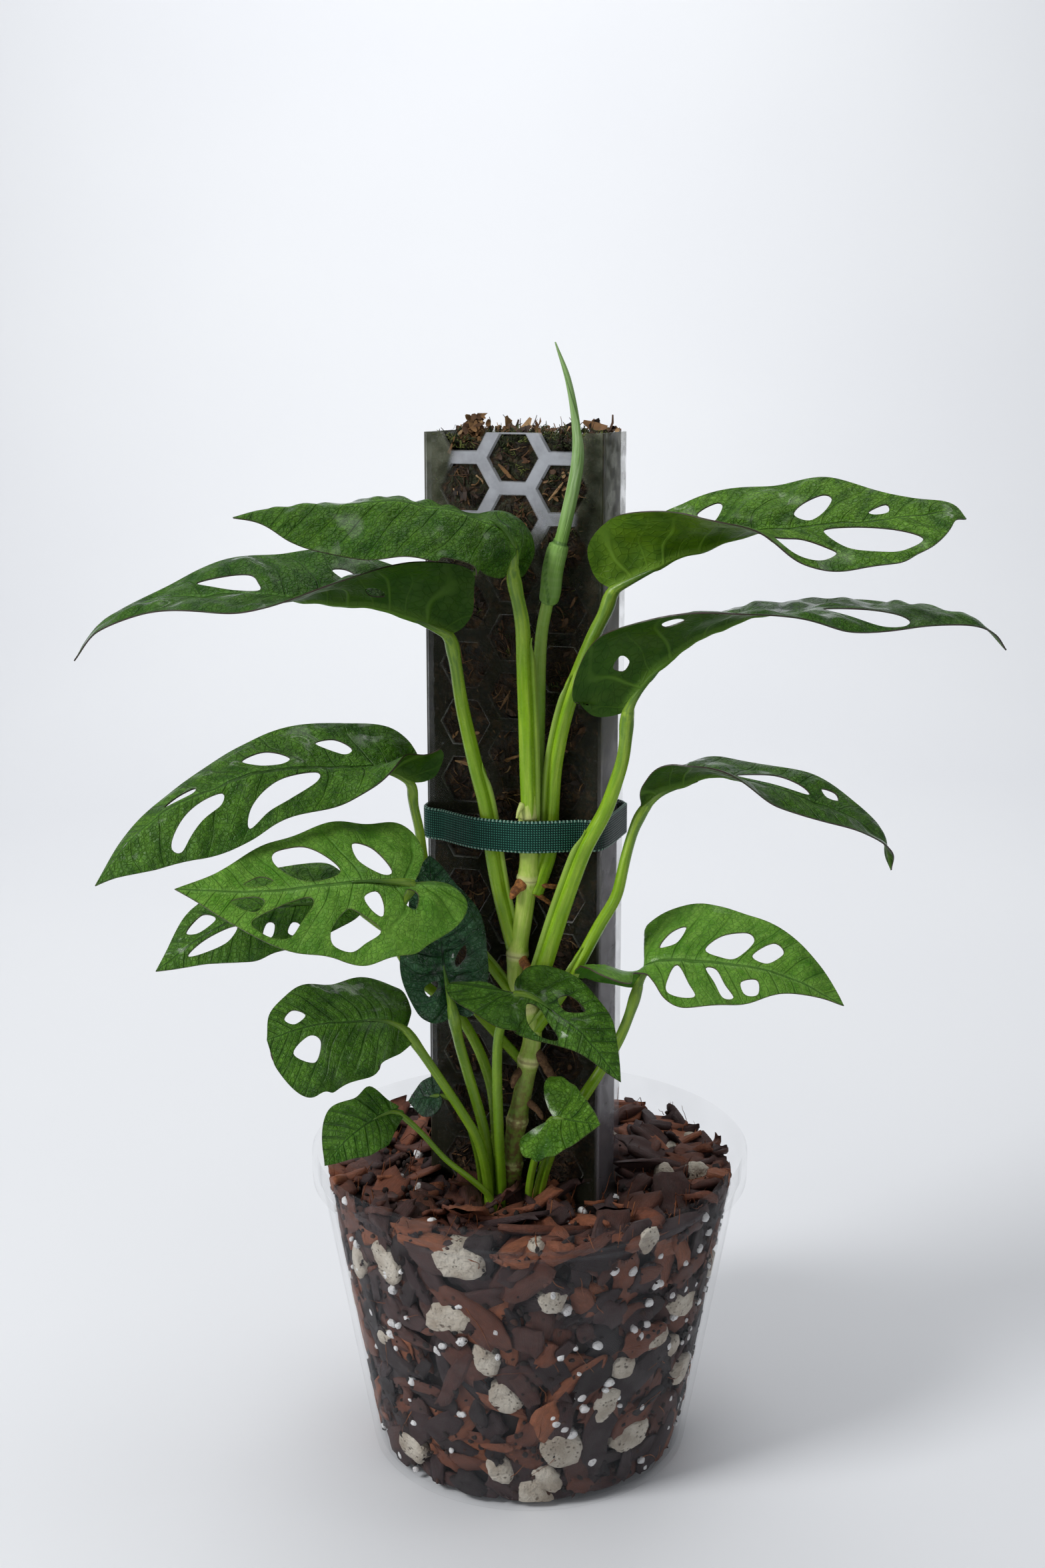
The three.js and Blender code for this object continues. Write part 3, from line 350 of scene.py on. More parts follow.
def finishGroup(group, **masks):
    for title in masks:
        group.interface.new_socket(title, in_out="OUTPUT", socket_type="NodeSocketFloat")
    addNode(group, "NodeGroupOutput", masks)
    return group


def useGroup(tree, group, **inputs):
    return addNode(tree, "ShaderNodeGroup", inputs, node_tree=group).outputs


# Masks of the midrib, the side veins and the fine net between them, and of the raised panels between side
# veins, which the leaf tops paint lighter as painted light
def buildVeins():
    group, given = newGroup("leafVeins", Width=1.0, Net=0.25)
    place = attribute(group, placeName)
    vein = axes(attribute(group, veinName))
    across = maths("ABSOLUTE", axes(place)[1])
    ribGap = maths("DIVIDE", across, vein[2])
    midrib = fading(ribGap, 0.3, 0.9)

    # how far the count of veins is from a half, once it is moved on by a shift
    def offHalf(shift):
        turn = maths("FRACT", maths("ADD", vein[0], shift))
        return maths("ABSOLUTE", maths("SUBTRACT", turn, 0.5))

    def lineMask(shift, low, high):
        return fading(maths("DIVIDE", times(offHalf(shift), vein[1]), given["Width"]), low, high)

    side = maths("MAXIMUM", lineMask(0.5, 0.1, 0.6), times(lineMask(0.0, 0.05, 0.35), 0.45))
    side = times(side, between(across, 4.0, 24.0, 1.0, 0.3))
    pulled = follow("ShaderNodeMapping", {"Vector": place, "Scale": (1, 1.25, 0)})[0]
    cells = follow("ShaderNodeTexVoronoi", {"Vector": pulled, "Scale": given["Net"]},
                   feature="DISTANCE_TO_EDGE")[0]
    net = fading(cells, 0.0, 0.11)
    return finishGroup(
        group, Midrib=midrib, Flank=fading(ribGap, 1.0, 3.2), Side=side, Band=lineMask(0.5, 0.7, 3.4),
        Panel=between(offHalf(0.0), 0.5, 0.08), Net=net,
        Height=maths("MAXIMUM", midrib, maths("MAXIMUM", side, times(net, 0.35))),
        Margin=fading(axes(place)[2], 0.1, 0.7))


# Broad and small patches of shade over any surface
def buildMottle():
    group, given = newGroup("mottle", Size=40.0, Spread=0.15, Shift=0.0)
    moved = vectorMaths("ADD", objectPlace(group), given["Shift"])
    low, high = maths("SUBTRACT", 0.5, given["Spread"]), maths("ADD", 0.5, given["Spread"])
    return finishGroup(
        group, Broad=between(noiseShade(moved, given["Size"], 2.0), low, high),
        Small=between(noiseShade(moved, times(given["Size"], 5.0), 5.0), low, high))


# Streaks along a stretched direction, such as wood grain or the fibres of a stalk
def buildStreaks():
    group, given = newGroup("streaks", Vector=None, Long=0.06, Wide=1.2)
    pull = follow("ShaderNodeCombineXYZ", {0: given["Long"], 1: given["Wide"], 2: given["Wide"]})[0]
    along = vectorMaths("MULTIPLY", given["Vector"], pull)
    return finishGroup(group, Streak=between(noiseShade(along, 1.0, 3.0), 0.36, 0.64),
                       Fine=between(noiseShade(along, 4.0, 2.0), 0.36, 0.64))


leafVeins, mottle, streaks = buildVeins(), buildMottle(), buildStreaks()


def newMaterial(name):
    material = bpy.data.materials.new(name)
    material.use_nodes = True
    return material, material.node_tree


def finishMaterial(material, height=None, strength=0.3, distance=0.0005, **inputs):
    tree = material.node_tree
    shader = tree.nodes["Principled BSDF"]
    for title, value in inputs.items():
        feed(tree, shader.inputs[title.replace("_", " ")], value)
    if height is not None:
        bump = addNode(tree, "ShaderNodeBump", {"Height": height, "Strength": strength, "Distance": distance})
        tree.links.new(bump.outputs[0], shader.inputs["Normal"])
    return material


# Camera, floor and lights

shoot = {
    "target": (4.1, -20, 285.5),   # point of the plant on the camera's axis
    "distance": 752,
    "turn": 20,                    # degrees round from the pole's front
    "elevation": 12,
    "lens": 44.388,
    "sky": 0.2,                    # strength of the sky that lights the plant
    # name, place and aim in metres, size, power
    "lights": [
        ("keyLight", (-0.75, -0.95, 1.15), (0, 0, 0.25), 0.45, 13.5),
        ("lowLight", (-1.0, -1.05, 0.42), (0, 0, 0.25), 0.35, 2.4),
        ("topLight", (0.15, 0.15, 1.5), (0, 0, 0.25), 0.9, 6.0),
        ("fillLight", (1.2, -0.7, 0.6), (0, 0, 0.25), 0.9, 1.8),
        ("backdropLight", (-0.5, 1.0, 1.9), (-0.7, 2.4, 0.7), 1.6, 26),
    ],
    # the floor's depths and heights in metres, up into a curved wall
    "floorHalf": 1.5, "floorNear": -0.9, "floorFar": 1.2, "floorCurve": 1.2, "floorTop": 1.5,
}


def lookAt(thing, place, aim):
    thing.location = place
    thing.rotation_euler = (Vector(aim) - Vector(place)).to_track_quat("-Z", "Y").to_euler()


def addCamera():
    turn, lift = math.radians(shoot["turn"]), math.radians(shoot["elevation"])
    target = Vector(shoot["target"]) * mm
    away = Vector((math.sin(turn) * math.cos(lift), -math.cos(turn) * math.cos(lift), math.sin(lift)))
    camera = addObject("camera", bpy.data.cameras.new("camera"))
    camera.data.lens = shoot["lens"]
    camera.data.clip_start = 0.01
    lookAt(camera, target + away * shoot["distance"] * mm, target)
    bpy.context.scene.camera = camera


def addSoftLight(name, place, aim, size, power):
    lamp = bpy.data.lights.new(name, "AREA")
    lamp.shape, lamp.size, lamp.energy = "SQUARE", size, power
    lookAt(addObject(name, lamp), place, aim)


def addFloor():
    far, curve, half = shoot["floorFar"], shoot["floorCurve"], shoot["floorHalf"]
    angles = np.linspace(0.1, math.pi / 2, 14)
    profile = [(shoot["floorNear"], 0), (far, 0)]
    profile += [(far + curve * math.sin(a), curve - curve * math.cos(a)) for a in angles]
    profile += [(far + curve, shoot["floorTop"])]
    cosine, sine = math.cos(math.radians(shoot["turn"])), math.sin(math.radians(shoot["turn"]))
    points = [(side * cosine - depth * sine, side * sine + depth * cosine, height)
              for depth, height in profile for side in (-half, half)]
    mesh = bpy.data.meshes.new("floor")
    mesh.from_pydata(points, [], gridFaces(len(profile), 2).tolist())
    mesh.polygons.foreach_set("use_smooth", np.full(len(profile) - 1, True))
    material, tree = newMaterial("paperFloor")
    shades = useGroup(tree, mottle, Size=1.5, Spread=0.3)
    tone = blend(shades["Broad"], (234, 236, 240), (238, 240, 243))
    mesh.materials.append(finishMaterial(material, Base_Color=tone, Roughness=0.85))
    addObject("floor", mesh)


def addSky():
    world = bpy.data.worlds.new("studio")
    world.use_nodes = True
    sky = world.node_tree.nodes["Background"]
    seen = addNode(world.node_tree, "ShaderNodeLightPath").outputs["Is Camera Ray"]
    feed(world.node_tree, sky.inputs[0], (236, 239, 245))
    feed(world.node_tree, sky.inputs[1], maths("MULTIPLY_ADD", seen, 1 - shoot["sky"], shoot["sky"]))
    bpy.context.scene.world = world


addCamera()
addFloor()
addSky()
for light in shoot["lights"]:
    addSoftLight(*light)
bpy.context.scene.view_settings.view_transform = "Standard"
print("camera, floor and lights are up")


# Leaves. A blade is drawn flat, with s along the midrib from the stalk and v across it, and is then
# bent along its midrib. near and far give the rise of each half; up gives the upper face.

# shade darkens a whole leaf's top: a painted shade that dims the leaves the lamps light brightly
leaves = [
    dict(name="leaf_top_left", look="youngLeaf", side=-1, wavy=1.3, shade=0.4,
         midrib=[[-7, -42, 371], [-6, -45, 379], [-11, -48, 387], [-23, -50, 392], [-47, -52, 396],
          [-71, -54, 396], [-95, -56, 394], [-107, -57, 391]],
         up=[[0, 1, -0.5, 0.2], [0.1, 0.6, -0.2, 0.7], [0.22, 0, 0, 1]],
         near=[[0, -40], [0.12, -45], [0.3, -40], [1, -38]], far=[[0, 20], [0.12, 20], [0.25, 0], [1, -4]],
         nearEdge=[[-3, 4], [0, 12], [8, 19], [17, 23], [26, 21], [38, 22], [42, 25], [57, 25], [73, 25],
          [87, 23], [97, 17], [106, 8]],
         farEdge=[[-4, 4], [-5, 8], [0, 12], [8, 15], [25, 19], [50, 19], [75, 16], [95, 9], [108, 4]],
         holes=[],
         stalk=[[-7, -42, 371], [-5, -40, 361], [-3, -37, 350], [-2.4, -34.5, 334], [-1.4, -34, 308],
          [-0.6, -32, 281], [-0.5, -31, 272]],
         radii=[[0, 2.2], [0.2, 2.8], [0.8, 3.2], [1, 3]]),
    dict(name="leaf_upper_left", look="leaf", side=-1, shade=0.45,
         midrib=[[-30, -36, 346], [-39, -40, 351], [-51, -44, 356], [-68, -46, 359], [-92, -46, 361],
          [-117, -44, 362], [-142, -42, 358], [-160, -42, 350], [-170, -42, 337]],
         near=[[0, 80], [0.1, 75], [0.2, 55], [0.28, 35], [0.4, 8], [0.5, -4], [1, -10]],
         far=[[0, 45], [0.3, 42], [0.55, 40], [0.7, 24], [0.85, 8], [1, 5]],
         nearEdge=[[-3, 5], [-3, 12], [2, 20], [7, 25], [20, 24], [36, 24], [51, 26], [65, 25], [80, 22],
          [103, 16], [125, 11], [142, 5]],
         farEdge=[[-3, 6], [-4, 12], [6, 22], [25, 28], [47, 28], [64, 28], [84, 24], [100, 19], [112, 13],
          [126, 9], [141, 5]],
         holes=[[[99, -8], [90, -10], [80, -11], [76, -7], [75, -2.5], [87, -2.5]], [[49, -16], [43, -17],
          [35, -11], [41, -10]], [[36, 11], [31, 10], [29, 6], [34, 6]]],
         stalk=[[-30, -36, 346], [-28, -33, 333], [-26, -30, 318], [-21, -27, 294], [-17, -26.4, 278],
          [-14, -26.6, 257], [-11, -27, 241], [-6, -28, 221]],
         radii=[[0, 2.2], [0.4, 2.8], [0.7, 3.2], [1, 3.2]]),
    dict(name="leaf_middle_left", look="leaf", side=-1,
         midrib=[[-45, -34, 289], [-52, -38, 294], [-64, -44, 297], [-80, -50, 298], [-97, -58, 298],
          [-111, -64, 295], [-132, -72, 287], [-146, -78, 276], [-157, -82, 261]],
         near=[[0, 75], [0.06, 60], [0.14, 0], [0.24, -32], [0.5, -50], [1, -50]],
         far=[[0, 50], [0.2, 42], [0.5, 30], [0.7, 10], [1, 0]],
         nearEdge=[[-4, 3], [-6, 8], [-3, 16], [1, 17], [5, 12], [10, 12], [18, 17], [30, 18], [52, 20],
          [76, 23], [98, 23], [119, 14], [131, 4]],
         farEdge=[[-3, 6], [-3, 13], [3, 20], [14, 24], [33, 24], [50, 22], [66, 18], [88, 13], [101, 9],
          [123, 4]],
         holes=[[[66, -9], [57, -11], [49, -6], [53, -3], [61, -4]], [[38, -12], [31, -14], [25, -9],
          [29, -6]], [[40, 2.5], [42, 7], [54, 13], [64, 16], [74, 19], [70, 12], [58, 5], [48, 2.5]],
          [[78, 3], [80, 7], [89, 10], [103, 17], [106, 13], [95, 6], [86, 3]], [[99, -2], [93, -5], [86, -5],
          [88, -2]]],
         stalk=[[-45, -34, 289], [-45, -30, 280], [-43, -25, 268], [-41, -21, 252], [-34, -19, 235],
          [-24, -20, 222], [-15, -22, 212], [-3, -27.5, 197]],
         radii=[[0, 1.7], [1, 2.3]]),
    dict(name="leaf_front_left", look="paleLeaf", side=-1,
         midrib=[[-43, -66, 258], [-58, -72, 260], [-72, -76, 260], [-95, -82, 259], [-111, -86, 260],
          [-127, -90, 262]],
         near=[[0, -48]], far=[[0, 48]],
         nearEdge=[[-8, -1], [-15, 0], [-20, 5], [-19, 11], [-14, 17], [-4, 23], [4, 29], [16, 30], [30, 30],
          [42, 26], [57, 19], [67, 13], [79, 5]],
         farEdge=[[-3, 5], [-6, 13], [-4, 21], [1, 26], [8, 28], [20, 28], [32, 26], [46, 23], [61, 16],
          [74, 7]],
         holes=[[[51, -12], [49, -17], [39, -18], [29, -9], [28, -4], [37, -2], [45, -5]], [[21, -17],
          [14, -15], [8, -5], [12, -3], [20, -9]], [[63, -3], [57, -6], [52, -4], [57, -2]], [[68, 4],
          [60, 2], [56, 4], [60, 8]], [[61, 12], [53, 7], [41, 4], [39, 7], [44, 13], [49, 18], [56, 17]],
          [[20, 6], [15, 4], [13, 9], [14, 14], [18, 11]], [[34, 18], [28, 11], [24, 11], [15, 19], [22, 23],
          [28, 26], [34, 24]], [[3, 3], [-1, 5], [1, 11], [5, 8]]],
         stalk=[[-43, -66, 258], [-48, -57, 248], [-52, -46, 235], [-51, -36, 223], [-43, -28, 208],
          [-28, -26, 193], [-17, -25, 169], [-13.6, -24.6, 143], [-13.6, -24.6, 100]],
         radii=[[0, 1.9], [1, 2.2]]),
    dict(name="leaf_behind_left", look="leaf", side=-1,
         midrib=[[-68, -40, 243], [-86, -42, 243], [-106, -46, 241], [-125, -50, 232], [-142, -54, 220]],
         near=[[0, -48]], far=[[0, 40]],
         nearEdge=[[-3, 4], [3, 9], [16, 15], [38, 19], [52, 16], [66, 9], [75, 4]],
         farEdge=[[-3, 6], [4, 15], [12, 22], [26, 19], [42, 18], [54, 15], [62, 13], [73, 5]],
         holes=[[[64, -6], [56, -9], [52, -4], [60, -2.5]], [[68, 3], [58, 1.5], [46, 3], [52, 7], [62, 6]],
          [[37, 11], [34, 6], [31, 7], [33, 12]], [[26, 11], [24, 7], [21, 8], [23, 12]]],
         stalk=[[-68, -40, 243], [-57, -36, 232], [-42, -29, 221], [-30, -23, 206], [-23, -21, 195],
          [-3, -27, 174]],
         radii=[[0, 1.5], [1, 2]]),
    dict(name="leaf_dark_centre", look="darkLeaf", side=1, wavy=3.6,
         midrib=[[-30, -40, 200], [-33, -40, 215], [-34, -40, 223], [-35, -37, 235], [-38, -34, 247],
          [-39, -32, 260]],
         up=[[0, 0, -1, 0.2]], near=[[0, 0]], far=[[0, 0]],
         nearEdge=[[-3, 3], [-4, 6], [-2, 9], [5, 14], [14, 17], [32, 17], [42, 13], [52, 8], [58, 4]],
         farEdge=[[-3, 2], [-4, 6], [-3, 10], [2, 14], [16, 17], [30, 15], [45, 10], [56, 5]],
         holes=[[[17, 5], [21, 9], [26, 9], [21, 5]], [[7, -8], [10, -4], [13, -4], [11, -9]]],
         stalk=[[-30, -41, 200], [-28, -36, 186], [-25, -33, 173], [-18, -30.5, 145], [-15.4, -29.6, 119],
          [-15, -29.5, 100]],
         radii=[[0, 2], [1, 2.2]]),
    dict(name="leaf_front_centre", look="leaf", side=1, wavy=1.4,
         midrib=[[-6, -49, 210], [1, -50, 208.5], [9, -54, 204], [21, -61, 196], [34, -68, 181]],
         near=[[0, -42]], far=[[0, 42], [1, 35]],
         nearEdge=[[-5, 0], [-12, -2], [-19, -1], [-25, 0], [-26, 3], [-21, 8], [-7, 14], [5, 16], [17, 14],
          [36, 6], [49, 2]],
         farEdge=[[-1, 4], [0, 8], [7, 16], [17, 17], [32, 14], [46, 6]],
         holes=[[[15, -5], [18, -9], [26, -8], [21, -3]], [[6, 4], [12, 2.5], [19, 5], [26, 8], [19, 11],
          [11, 9]]],
         stalk=[[-6, -49, 210], [-9, -45, 200], [-12, -41, 192], [-13, -37, 176], [-12.4, -34, 147],
          [-11.4, -32.8, 121], [-11.2, -32.8, 100]],
         radii=[[0, 1.8], [1, 2.2]]),
    dict(name="leaf_round_left", look="leaf", side=-1,
         midrib=[[-48, -46, 194], [-56, -50, 199], [-68, -54, 200], [-81, -60, 201], [-99, -66, 197]],
         near=[[0, -61]], far=[[0, 40]],
         nearEdge=[[-3, 1], [-4, 4], [5, 15], [15, 20], [26, 24], [40, 26], [47, 26], [53, 20], [57, 9]],
         farEdge=[[-2, 6], [-3, 12], [1, 20], [13, 21], [26, 19], [41, 18], [52, 11]],
         holes=[[[48, -6], [44, -9], [40, -5], [45, -2.5]], [[49, 8], [41, 3.5], [37, 7], [42, 14]]],
         stalk=[[-48, -46, 194], [-40, -44, 181], [-33, -42, 169], [-27, -39.5, 158], [-20, -36.5, 143],
          [-16.4, -34.8, 121], [-16, -34.6, 100]],
         radii=[[0, 1.7], [1, 2.1]]),
    dict(name="leaf_small_left", look="leaf", side=-1,
         midrib=[[-52, -42, 160], [-61, -48, 158], [-71, -54, 152], [-79, -60, 144]], near=[[0, -50]],
         far=[[0, 50]], nearEdge=[[-2, 2], [1, 5], [10, 11], [18, 11], [24, 9], [32, 4]],
         farEdge=[[-1, 1], [2, 5], [6, 13], [12, 11], [20, 14], [28, 9]], holes=[],
         stalk=[[-52, -42, 159], [-43, -43, 151], [-33, -42.5, 139], [-23, -41, 130], [-14.5, -38.6, 119],
          [-13.5, -38, 100]],
         radii=[[0, 1], [1, 1.4]]),
    dict(name="leaf_tiny_left", look="darkLeaf", side=-1,
         midrib=[[-36, -26, 160], [-42, -22, 157], [-49, -18, 154]], near=[[0, -60]], far=[[0, 60]],
         nearEdge=[[-1.5, 3], [0, 6], [4, 8], [9, 7.5], [13, 4]],
         farEdge=[[-1.5, 3], [0, 6], [4, 8], [9, 7.5], [13, 4]], holes=[],
         stalk=[[-36, -26, 160], [-29, -27, 157], [-24.5, -27.5, 147], [-21, -26.5, 132], [-19.6, -25.5, 118],
          [-19.4, -25.4, 100]],
         radii=[[0, 0.9], [1, 1.2]]),
    dict(name="leaf_small_right", look="youngLeaf", side=1,
         midrib=[[9, -50, 160], [17, -54, 160], [27, -58, 160]], near=[[0, -50]], far=[[0, 60]],
         nearEdge=[[-3, 3], [-8, 7], [-11, 11], [-9, 16], [-3, 18], [4, 15], [9, 11], [15, 5]],
         farEdge=[[-3, 3], [-6, 8], [-7, 13], [-4, 16], [2, 15], [8, 12], [16, 5]], holes=[],
         stalk=[[9, -50, 160], [6, -44, 152], [2, -38, 138], [-0.5, -34.5, 122], [-1, -34, 100]],
         radii=[[0, 1.3], [1, 1.7]]),
    dict(name="leaf_low_right", look="paleLeaf", side=1,
         midrib=[[42, -36, 208], [43, -37, 213], [47, -39, 218], [56, -42, 221], [78, -46, 220],
          [98, -48, 216], [120, -50, 205]],
         up=[[0, 0, 1, 0.1], [0.1, 0, 0, 1]], near=[[0, 10], [0.08, 5], [0.16, -30], [0.3, -38], [1, -38]],
         far=[[0, 20], [0.1, 50], [1, 50]],
         nearEdge=[[-1, 4], [-1, 10], [-1, 17], [1, 24], [5, 26], [8, 23], [9.5, 18], [9, 12], [8.5, 8],
          [11, 7], [14, 11], [18, 17], [25, 20], [33, 20], [42, 18], [52, 15], [65, 8], [80, 2]],
         farEdge=[[4, 1], [7, 3], [8, 9], [9, 17], [13, 21], [23, 24], [33, 25], [44, 25], [62, 18], [75, 11],
          [85, 4]],
         holes=[[[16, -6], [20, -12], [25, -14], [22, -7]], [[33, -5], [39, -12], [48, -15], [51, -11],
          [45, -3], [39, -2.5]], [[51, -5], [58, -12], [62, -9], [57, -3]], [[23, 2.5], [28, 10], [31, 16],
          [20, 15], [20, 8]], [[34, 3], [38, 3], [42, 9], [46, 14], [42, 15], [38, 9]], [[48, 7], [54, 5],
          [55, 11], [50, 12]], [[2, 4.5], [6, 4.5], [6, 8.5], [2, 8.5]]],
         stalk=[[42, -36, 208], [39, -35, 197], [35, -34, 186], [29, -34, 175], [21, -34, 162],
          [12, -34, 148], [6, -33.5, 132], [3.5, -32.5, 119], [3, -32.5, 100]],
         radii=[[0, 1.9], [0.5, 2.4], [1, 2.4]]),
    dict(name="leaf_middle_right", look="leaf", side=1, shade=0.15,
         midrib=[[44, -38, 281], [49, -42, 287], [59, -45, 291], [71, -46, 294], [89, -46, 290],
          [106, -46, 284], [125, -44, 275], [135, -42, 267], [138, -40, 256]],
         up=[[0, -0.8, 0, 0.5], [0.1, 0, 0, 1]],
         near=[[0, 40], [0.15, 50], [0.25, 30], [0.35, 10], [0.45, -12], [1, -14]],
         far=[[0, 30], [0.2, 20], [0.35, 14], [0.6, 32], [0.85, 32], [1, 20]],
         nearEdge=[[-1, 2], [2, 4], [8, 9], [14, 14], [22, 16], [30, 16], [42, 16], [60, 14], [75, 12],
          [89, 8], [102, 5]],
         farEdge=[[-2, 3], [0, 7], [7, 13], [18, 17], [32, 18], [45, 19], [60, 19], [77, 16], [90, 11],
          [101, 7], [108, 4]],
         holes=[[[39, -2], [46, -7], [55, -10], [65, -7], [67, -3], [52, -2.5]], [[73, -10], [79, -11],
          [80, -7], [75, -6]]],
         stalk=[[44, -38, 281], [40, -38, 273], [37, -38.5, 263], [35, -39, 254], [33, -38.5, 245],
          [27, -37.5, 234], [22, -37, 224], [17, -36, 214], [11, -34, 203], [0, -30, 186]],
         radii=[[0, 1.8], [0.5, 2.4], [1, 2.7]]),
    dict(name="leaf_upper_right", look="leaf", side=1, shade=0.3,
         midrib=[[36, -48, 319], [38, -51, 325], [46, -54, 335], [57, -56, 345], [69, -56, 351],
          [86, -54, 356], [108, -50, 358], [133, -48, 357.5], [158, -46, 354.5], [170, -44, 349],
          [177, -42, 341]],
         up=[[0, -1, 0.3, 0.2], [0.15, -0.2, 0, 1], [0.25, 0, 0, 1]],
         near=[[0, 70], [0.12, 72], [0.2, 52], [0.28, 34], [0.36, 16], [0.42, 8], [0.55, -8], [0.7, -15],
          [1, -12]],
         far=[[0, 0], [0.12, 10], [0.3, 7], [0.5, 5], [1, 4]],
         nearEdge=[[-4, 6], [-5, 12], [-1, 18], [6, 23], [16, 25], [28, 24], [45, 24], [65, 24], [85, 23],
          [107, 20], [125, 14], [145, 7], [155, 3]],
         farEdge=[[-3, 5], [-3, 12], [6, 20], [20, 24], [45, 26], [70, 26], [95, 25], [115, 21], [131, 15],
          [145, 9], [155, 4]],
         holes=[[[87, 3], [103, 3], [114, 6], [118, 11], [115, 16], [107, 17], [98, 12]], [[34, 19], [38, 20],
          [39, 16], [34, 15]], [[12, 13], [17, 14], [17, 10], [13, 9]]],
         stalk=[[36, -48, 319], [35, -46.5, 303], [32, -44.5, 291], [28, -42.5, 279], [21, -39.5, 265],
          [15, -37.5, 248], [10, -35.5, 232], [5, -33, 215], [0, -30, 200]],
         radii=[[0, 2.2], [0.4, 3], [1, 3.6]]),
    dict(name="leaf_top_right", look="youngLeaf", side=1, wavy=1.2,
         midrib=[[30, -44, 364], [39, -47, 369], [49, -50, 374], [62, -50, 379], [80, -50, 385],
          [98, -50, 387], [119, -50, 389], [140, -50, 391], [152, -50, 393], [158, -50, 390]],
         near=[[0, 85], [0.12, 72], [0.2, 60], [0.27, 44], [0.33, 28], [0.42, 10], [0.5, -16], [0.6, -26],
          [1, -28]],
         far=[[0, 60], [0.2, 45], [0.33, 40], [0.5, 40], [0.7, 38], [1, 28]],
         nearEdge=[[-3, 5], [-3, 11], [0, 18], [8, 22], [16, 24], [27, 26], [37, 27], [48, 27], [60, 25],
          [75, 25], [90, 26], [104, 26], [112, 21], [118, 17], [128, 8]],
         farEdge=[[-3, 5], [-3, 12], [6, 20], [20, 25], [36, 27], [55, 29], [73, 30], [85, 29], [95, 25],
          [112, 15], [127, 6]],
         holes=[[[40, -18], [48, -21], [49, -17], [44, -11]], [[72, -7], [76, -13], [84, -17], [87, -14],
          [83, -7], [77, -3]], [[99, -5], [106, -9], [106, -4], [101, -3]], [[81, 4], [91, 3], [106, 7],
          [115, 13], [110, 18], [102, 20], [88, 15]], [[62, 14], [71, 9], [82, 15], [83, 18], [76, 21],
          [66, 20]]],
         stalk=[[30, -44, 364], [28, -43, 356], [23, -40, 345], [14, -35, 319], [9.6, -31, 297],
          [8.2, -28.6, 278], [7.6, -28.2, 261], [2, -29.5, 244]],
         radii=[[0, 2.2], [0.3, 3], [0.75, 3], [1, 3]]),
]
leafBuild = {
    "thickness": 0.55,
    "grid": 1.4,                   # step between inner points
    "outlineStep": 1.2, "holeStep": 1.0,
    "rimGap": 0.75,                # inner points stay this far from the rims
    "ribRows": (0, -0.7, 0.7, -1.5, 1.5, -2.6, 2.6),   # rows of points along the midrib
    "ribRoom": 3.1,                # the even grid starts here
    "curl": math.radians(0.6),     # bend across, for each mm
    "droop": math.radians(5) / 12,      # the same for the lobes behind the stalk
    "quilting": 0.6,               # rise between side veins 12 mm apart
    "ribChannel": 0.35,            # depth of the midrib's channel on top
    "ribRidge": 1.1,               # height of the midrib under the blade, at the stalk
    # slant of the side veins at places along the midrib; the last two are shares of its length
    "slants": [[-7, -6], [-3, -2.4], [0, -0.9]], "farSlants": [[0.1, 0.15], [0.35, 0.5], [1, 0.9]],
    "stalkSides": 32,
    "stalkStep": 1.8,
    "plainSheath": 0.8,            # where a stalk's sheath starts, as a share of the way from the blade
    "wingSides": 12, "wingThin": 0.3,
}
# the stalks whose sheath has a wing, and where it starts
sheathTops = {
    "leaf_top_left": 0.28, "leaf_upper_left": 0.42, "leaf_top_right": 0.3, "leaf_upper_right": 0.42,
    "leaf_middle_right": 0.6, "leaf_low_right": 0.55, "leaf_middle_left": 0.6, "leaf_front_left": 0.65,
}


def bell(value, width):
    return np.exp(-(value / width) ** 2)


def smoothKeys(keys):
    places = np.linspace(-0.2, 1.2, 281)
    spread = np.exp(-0.5 * (np.arange(-20, 21) / 6.5) ** 2)
    smoothed = [np.convolve(np.pad(c, 20, mode="edge"), spread / spread.sum(), mode="valid")
                for c in valueAt(keys, places).T]
    return stacked(places, *smoothed)


# The blade's bent surface, as a function of its flat coordinates
def bladeSurface(leaf):
    line = smoothLine(leaf["midrib"], fineness=60)
    run = runOf(line)
    tangents = unit(np.gradient(line, axis=0))
    length = run[-1]
    curl, droop = leafBuild["curl"], leafBuild["droop"]
    up = smoothKeys(leaf.get("up", [[0, 0, 0, 1]]))
    near, far = smoothKeys(leaf["near"]), smoothKeys(leaf["far"])

    def at(s, v):
        here = np.clip(s, 0, length)
        place = here / length
        point = readOff(here, run, line)
        along = unit(readOff(here, run, tangents))
        normal = valueAt(up, place)
        normal = unit(normal - along * (normal * along).sum(-1, keepdims=True))
        across = np.cross(along, normal) * (leaf["side"] * np.where(v < 0, -1, 1))[..., None]
        behind = np.maximum(0, -s)[..., None]
        point = point - along * np.sin(droop * behind) / droop - normal * (1 - np.cos(droop * behind)) / droop
        rise = np.radians(np.where(v < 0, valueAt(far, place)[..., 0], valueAt(near, place)[..., 0]))
        bent = rise - curl * np.abs(v)
        point = point + across * ((np.sin(rise) - np.sin(bent)) / curl)[..., None]
        point = point + normal * ((np.cos(bent) - np.cos(rise)) / curl)[..., None]
        wave = np.sin(6 * math.pi * s / length + np.where(v < 0, 1.7, 0)) * (v / 25) ** 2
        return point + normal * wave[..., None]

    return at, length


